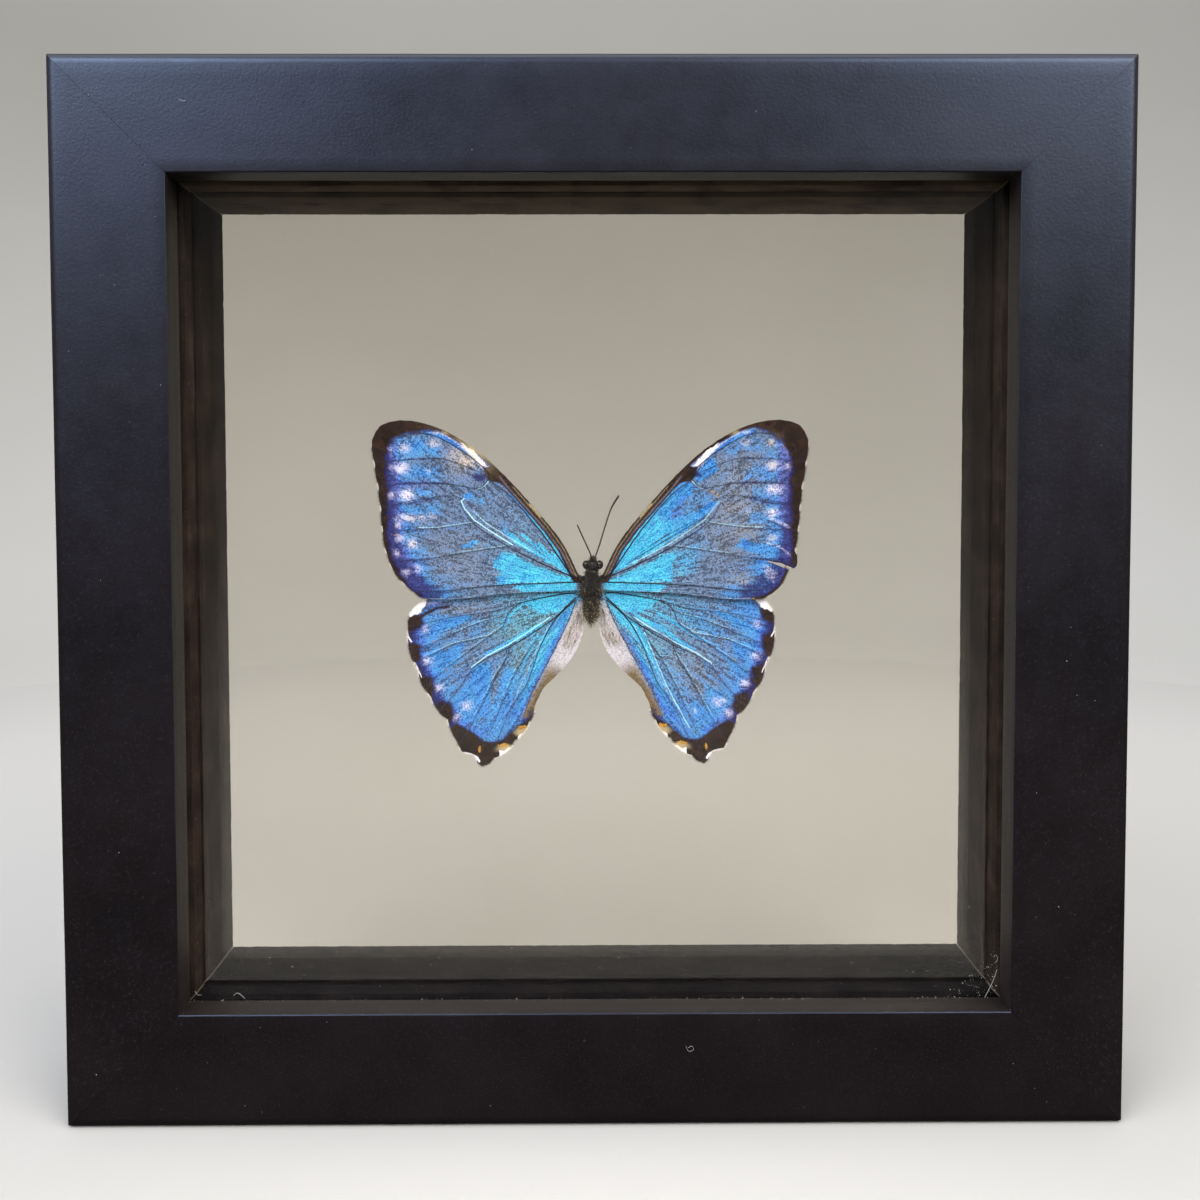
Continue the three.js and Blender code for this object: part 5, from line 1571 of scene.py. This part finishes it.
# Body hair: dense and near black on the thorax, olive on the abdomen, thin and pale beside it.
HAIR_TONES = {
    "thorax_hair": [(0.0, "#060505"), (0.5, "#14110f"), (0.8, "#3c342c"), (1.0, "#80745f")],
    "blue_back_hair": [(0.0, "#08080e"), (0.5, "#181a2a"), (1.0, "#6c7290")],
    "grey_strands": [(0.0, "#1c1814"), (0.5, "#6b6154"), (1.0, "#cfc4b0")],
    "olive_hair": [(0.0, "#120f08"), (0.45, "#443c24"), (0.75, "#8c8058"), (1.0, "#ddd0a0")],
    "pale_hair": [(0.0, "#7c6f58"), (0.5, "#b4a68a"), (1.0, "#ece4cc")],
    "root_hair": [(0.0, "#5a4426"), (0.5, "#a8843e"), (1.0, "#e4c684")],
}
hair_finish = {}
for name, stops in HAIR_TONES.items():
    material, tree, shader = new_material(name)
    along = add(tree, "ShaderNodeAttribute", {"attribute_name": "along"}).outputs["Fac"]
    where = add(tree, "ShaderNodeTexCoord").outputs["Object"]
    tufts = add(tree, "ShaderNodeTexNoise", inputs={"Vector": where, "Scale": 1 / (0.42 * MM)})
    tone = -1.72
    for source, weight in ((along, 0.45), (tufts, 3.6)):
        tone = add(tree, "ShaderNodeMath", {"operation": "MULTIPLY_ADD"}, {0: source, 1: weight, 2: tone})
    hair_colour = add(tree, "ShaderNodeValToRGB", {"stops": stops}, {"Fac": tone})
    feed(tree, shader, {
        "Base Color": hair_colour, "Roughness": 0.55, "IOR": 1.55, "Specular IOR Level": 0.2})
    hair_finish[name] = material

# Hair on the skin: (name, where its faces' middles lie, finish, then the hair tree's settings in order).
HAIR = [
    ("thorax_hair", lambda x, y, z: -2.2 < z < 3.4 and abs(x) < 2.0,
     "thorax_hair", 20.0, 0.95, 0.16, (0, 0, -0.9), 0.8, 0.6, (0, 0.1, -0.25), 11),
    ("back_hair", lambda x, y, z: -0.8 < z < 2.8 and abs(x) < 0.9 and y < BODY_Y,
     "blue_back_hair", 9.0, 0.85, 0.14, (0, 0, -1.2), 0.6, 0.5, (0, 0.1, -0.2), 12),
    ("grey_strands", lambda x, y, z: -2.6 < z < 1.6 and 0.8 < abs(x) < 2.0 and y < BODY_Y,
     "grey_strands", 6.0, 1.1, 0.13, (0, -0.2, -1.2), 0.5, 0.45, (0, 0, -0.2), 18),
    ("head_hair", lambda x, y, z: z >= 3.3,
     "thorax_hair", 26.0, 0.5, 0.11, (0, 0, 0.5), 0.9, 0.5, (0, 0, 0.05), 13),
    ("abdomen_hair", lambda x, y, z: z <= -1.6,
     "olive_hair", 18.0, 1.15, 0.13, (0, 0, -0.9), 0.8, 0.6, (0, 0.1, -0.3), 14),
]
for name, within, finish, *settings in HAIR:
    patch = [face for face, middle in skin_faces if within(*middle)]
    make_hair(name, skin_places, patch, (hair_finish[finish], *settings))

# Yellow hair at the wings' roots, fine pale hair on the hindwings' folds, olive tufts beside the abdomen.
FOLD_PATCH = [(1.9, -3.2), (3.2, -4.6), (5.2, -8.4), (5.8, -10.6), (3.6, -11.2), (2.2, -9), (1.6, -6.4)]
TUFT_PATCH = [(0.6, -3.4), (2.6, -2.6), (3.4, -4), (2.6, -6.4), (1.2, -6)]
for hand, side in (("left", -1), ("right", 1)):
    patch = [face for face, (x, y, z) in skin_faces if x * side > 1.5 and -0.9 < z < 0.3 and y < BODY_Y + 0.8]
    make_hair(f"wing_root_hair_{hand}", skin_places, patch,
              (hair_finish["root_hair"], 26.0, 0.85, 0.12, (0.9 * side, -0.4, -0.15), 0.6, 0.4,
               (0, 0, 0), 15))
    places = wing_place(np.array(FOLD_PATCH), "hindwing", hand, -WING_THICKNESS / 2)
    face = tuple(range(len(FOLD_PATCH)))[::-side]
    make_hair(f"fold_hair_{hand}", places.tolist(), [face],
              (hair_finish["pale_hair"], 10.0, 1.5, 0.07, (0.25 * side, -0.12, -1.0), 0.2, 0.25,
               (0, -0.05, -0.1), 16))
    places = wing_place(np.array(TUFT_PATCH), "hindwing", hand, -WING_THICKNESS / 2)
    face = tuple(range(len(TUFT_PATCH)))[::side]
    make_hair(f"olive_tuft_{hand}", places.tolist(), [face],
              (hair_finish["olive_hair"], 22.0, 1.3, 0.08, (0.15 * side, -0.15, -1.0), 0.4, 0.45,
               (0, -0.05, -0.15), 17))

# ---- Antennae -------------------------------------------------------------------------
# Two thin jointed threads of cuticle set between the eyes: the left one has lost its outer half, the
# right one is whole and thickens into a slim club.
ANTENNA_Y = BODY_Y - 0.3
ANTENNAE = {
    "left": ([(0.1, 5.6), (-0.05, 6.7), (-1.2, 9.3), (-2.6, 12.4)], 2.0),
    "right": ([(0.8, 5.6), (1.1, 6.7), (1.7, 8.4), (2.8, 12), (4, 15.5), (5.5, 18)], 0.72),
}
for hand, (path, club_from) in ANTENNAE.items():
    line = smooth_path(path, 150)
    thread = []
    for k, (x, z) in enumerate(line):
        t = k / (len(line) - 1)
        swell = float(rise(club_from, 0.93, np.array(t))) if club_from < 1 else 0.0
        half = 0.135 + 0.07 * swell + 0.014 * math.cos(k * math.pi / 1.5)
        if t > 0.97:
            half *= 0.75
        thread.append((x, ANTENNA_Y - 0.15 * t, z, half))
    antenna = make_tubes(f"jointed_antenna_{hand}", [thread], 8, dry_cuticle)
    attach(antenna, "root")
    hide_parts(f"antenna_{hand}")

# ---- Glue -----------------------------------------------------------------------------
# A drop of clear glue between the rear pane and the underside of the thorax, flattened on the glass
# and drawn in at its waist as it dried.
GLUE_BACK = -1.75
clear_glue, tree, shader = new_material("dried_clear_glue")
where = add(tree, "ShaderNodeTexCoord").outputs["Object"]
cloud = add(tree, "ShaderNodeTexNoise", inputs={"Vector": where, "Scale": 1 / (0.7 * MM)})
glue_colour = add(tree, "ShaderNodeValToRGB", {"stops": [(0.3, "#efe6cf"), (0.7, "#e4d6b4")]}, {"Fac": cloud})
glue_rough = add(tree, "ShaderNodeMapRange", SMOOTH, {0: cloud, 1: 0.3, 2: 0.7, 3: 0.05, 4: 0.2})
feed(tree, shader, {
    "Base Color": glue_colour, "Roughness": glue_rough, "IOR": 1.48, "Transmission Weight": 0.85})
# From the pane forward: (radius, height above the pane).
GLUE_PROFILE = [(0.0, 0.0), (1.1, 0.0), (1.2, 0.04), (1.16, 0.12), (0.98, 0.25), (0.86, 0.4), (0.84, 0.55),
                (0.9, 0.68), (0.86, 0.75), (0.0, 0.75)]
GLUE_AROUND = 40
vertices = []
for radius, up in GLUE_PROFILE:
    for k in range(GLUE_AROUND):
        turn = 2 * math.pi * k / GLUE_AROUND
        wobble = 1 + 0.06 * math.sin(2 * turn + 0.4) + 0.03 * math.sin(5 * turn)
        vertices.append((radius * wobble * math.cos(turn), GLUE_BACK - up, radius * wobble * math.sin(turn)))
glue = new_piece("glue_blob", vertices, ring_faces(len(GLUE_PROFILE), GLUE_AROUND))
shell = bmesh.new()
shell.from_mesh(glue.data)
bmesh.ops.remove_doubles(shell, verts=shell.verts, dist=1e-5)
bmesh.ops.recalc_face_normals(shell, faces=shell.faces)
shell.to_mesh(glue.data)
shell.free()
make_plain(glue, BUTTERFLY)
glue.data.shade_smooth()
glue.data.materials.append(clear_glue)
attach(glue, "root")
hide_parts("glue_drop")

# ---- Dust and lint --------------------------------------------------------------------
# House dust that has settled on the lacquer and the glass, thickest along the bottom ledge, and a
# few clothes fibres.
dust_tree = bpy.data.node_groups.new("dust_on_surface", "GeometryNodeTree")
given = group_sockets(dust_tree, [
    ("Surface", "NodeSocketGeometry"), ("Flecks", "NodeSocketFloat"), ("Smallest", "NodeSocketFloat"),
    ("Largest", "NodeSocketFloat"), ("Seed", "NodeSocketInt"), ("Finish", "NodeSocketMaterial")], "Dust")
spread_points = add(dust_tree, "GeometryNodeDistributePointsOnFaces",
                    inputs={0: given["Surface"], 4: given["Flecks"], 6: given["Seed"]})
fleck = add(dust_tree, "GeometryNodeMeshIcoSphere", inputs={0: 1.0, 1: 1})
squeeze = add(dust_tree, "FunctionNodeRandomValue", {"data_type": "FLOAT_VECTOR"},
              {0: (0.5, 0.35, 0.3), 1: (1.0, 1.0, 0.8), 8: 3})
size = add(dust_tree, "FunctionNodeRandomValue", {"data_type": "FLOAT"},
           {2: 0.0, 3: 1.0, 8: given["Seed"]})
size = add(dust_tree, "ShaderNodeMath", {"operation": "POWER"}, {0: size.outputs[1], 1: 4.0})
size = add(dust_tree, "ShaderNodeMapRange", inputs={0: size, 3: given["Smallest"], 4: given["Largest"]})
scaled = add(dust_tree, "ShaderNodeVectorMath", {"operation": "SCALE"}, {0: squeeze, 3: size})
turn = add(dust_tree, "FunctionNodeRandomValue", {"data_type": "FLOAT_VECTOR"},
           {0: (0, 0, 0), 1: (6.28, 6.28, 6.28), 8: 9})
turn = add(dust_tree, "FunctionNodeEulerToRotation", inputs={0: turn})
settled = add(dust_tree, "GeometryNodeInstanceOnPoints",
              inputs={0: spread_points, 2: fleck, 5: turn, 6: scaled})
real = add(dust_tree, "GeometryNodeRealizeInstances", inputs={0: settled})
coated = add(dust_tree, "GeometryNodeSetMaterial", inputs={0: real, 2: given["Finish"]})
add(dust_tree, "NodeGroupOutput", inputs={0: coated})

# Pale grey household dust, matt and uneven.
grey_dust, tree, shader = new_material("house_dust")
where = add(tree, "ShaderNodeTexCoord").outputs["Object"]
tint = add(tree, "ShaderNodeTexNoise", inputs={"Vector": where, "Scale": 1 / (1.5 * MM)})
dust_colour = add(tree, "ShaderNodeValToRGB", {"stops": [(0.35, "#6c6864"), (0.65, "#cfcac3")]},
                  {"Fac": tint})
feed(tree, shader, {
    "Base Color": dust_colour, "Roughness": 0.9, "Specular IOR Level": 0.1})


def square(half, y):
    """The corners of a square around the opening's middle, at a depth."""
    return [(s * half, y, t * half) for s, t in ((-1, -1), (1, -1), (1, 1), (-1, 1))]


def ledge(half, front, back, z):
    return [(-half, front, z), (half, front, z), (half, back, z), (-half, back, z)]


ONE_FACE = [(0, 1, 2, 3)]
FOUR_FACES = [(k, (k + 1) % 4, 4 + (k + 1) % 4, 4 + k) for k in range(4)]
GLASS_CORNER = [(66, -9.2, -77.6), (77.4, -9.2, -77.6), (77.4, -9, -68), (70, -9, -75.6)]
LACQUER_Y = FRONT_Y + FACE_SET - 0.02

# Where dust lies: (name, corners, faces, slot, flecks for each square mm, smallest, largest, seed).
DUST = [
    ("rail_face_dust", square(97, LACQUER_Y) + square(78.6, LACQUER_Y), FOUR_FACES,
     "lacquer", 0.02, 0.03, 0.12, 21),
    ("front_pane_dust", square(77.5, FRONT_GLASS_Y - 0.01), ONE_FACE, "glass", 0.006, 0.02, 0.09, 22),
    ("glass_edge_dust", ledge(77.6, FRONT_GLASS_Y - 0.9, FRONT_GLASS_Y - 0.1, -77.95), ONE_FACE,
     "lacquer", 2.4, 0.04, 0.17, 23),
    ("corner_dust", GLASS_CORNER, ONE_FACE, "lacquer", 1.8, 0.05, 0.18, 27),
    ("spacer_dust", square(77.55, -6.3) + square(77.55, -2.0), FOUR_FACES, "strip", 0.05, 0.03, 0.1, 24),
    ("stop_dust", square(76.95, 1.0) + square(76.95, 14.0), FOUR_FACES, "strip", 0.05, 0.03, 0.12, 25),
    ("ledge_dust", ledge(76.9, 1.0, 14.5, -76.93), ONE_FACE, "strip", 0.12, 0.03, 0.16, 26),
]
for name, corners, faces, slot, count, smallest, largest, seed in DUST:
    dust = new_piece(name, corners, faces)
    run_tree(dust, dust_tree, {"Flecks": count, "Smallest": smallest, "Largest": largest, "Seed": seed,
                               "Finish": grey_dust}, (0, 0, FRAME_HALF))
    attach(dust, "root")

# Fibres: (half thickness, points relative to the middle of the frame), pressed against their surface.
LINT_STEPS = 40
LINT = [
    (0.022, [(16.9, -14.89, -84.2), (17.4, -14.94, -85.2), (18.3, -14.93, -85), (18.1, -14.9, -84.3),
             (17.3, -14.89, -84.6)]),
    (0.035, [(-69.8, -8.75, -77.2), (-69, -8.9, -76.6), (-68.1, -8.9, -77.1), (-67.6, -8.8, -77.8)]),
    (0.045, [(74.9, -9.6, -77.8), (75.7, -9.3, -76.6), (76.8, -9, -74.6), (77.5, -8.9, -72.6)]),
    (0.03, [(77.1, -8.85, -71.4), (77.6, -8.85, -70.6), (77.3, -8.85, -69.8), (76.8, -8.85, -70.2)]),
    (0.03, [(-13.4, -8.75, 69.4), (-13, -8.78, 68.4), (-12.4, -8.75, 67.6)]),
    (0.03, [(-75.2, -14.9, 91.2), (-74.6, -14.93, 90.8), (-74, -14.89, 90.9)]),
    (0.03, [(-77.2, -8.8, -76.2), (-76.6, -8.85, -76.9), (-75.9, -8.8, -77)]),
]
lint_paths = []
for half, path in LINT:
    line = smooth_path(path, LINT_STEPS)
    lint_paths.append([(*spot, half * (0.5 if k in (0, LINT_STEPS) else 1)) for k, spot in enumerate(line)])

# Cotton fibre: off-white, twisted and matt.
cotton_fibre, tree, shader = new_material("cotton_fibre")
where = add(tree, "ShaderNodeTexCoord").outputs["Object"]
twist = add(tree, "ShaderNodeTexNoise", inputs={"Vector": where, "Scale": 1 / (0.4 * MM)})
cotton_colour = add(tree, "ShaderNodeValToRGB", {"stops": [(0.3, "#8e8a85"), (0.7, "#d6d2cb")]},
                    {"Fac": twist})
feed(tree, shader, {"Base Color": cotton_colour, "Roughness": 0.8})
lint = make_tubes("lint_fibres", lint_paths, 6, cotton_fibre, (0, 0, FRAME_HALF))
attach(lint, "root")

# ---- Update ---------------------------------------------------------------------------
# The view layer is brought up to date.
bpy.context.view_layer.update()
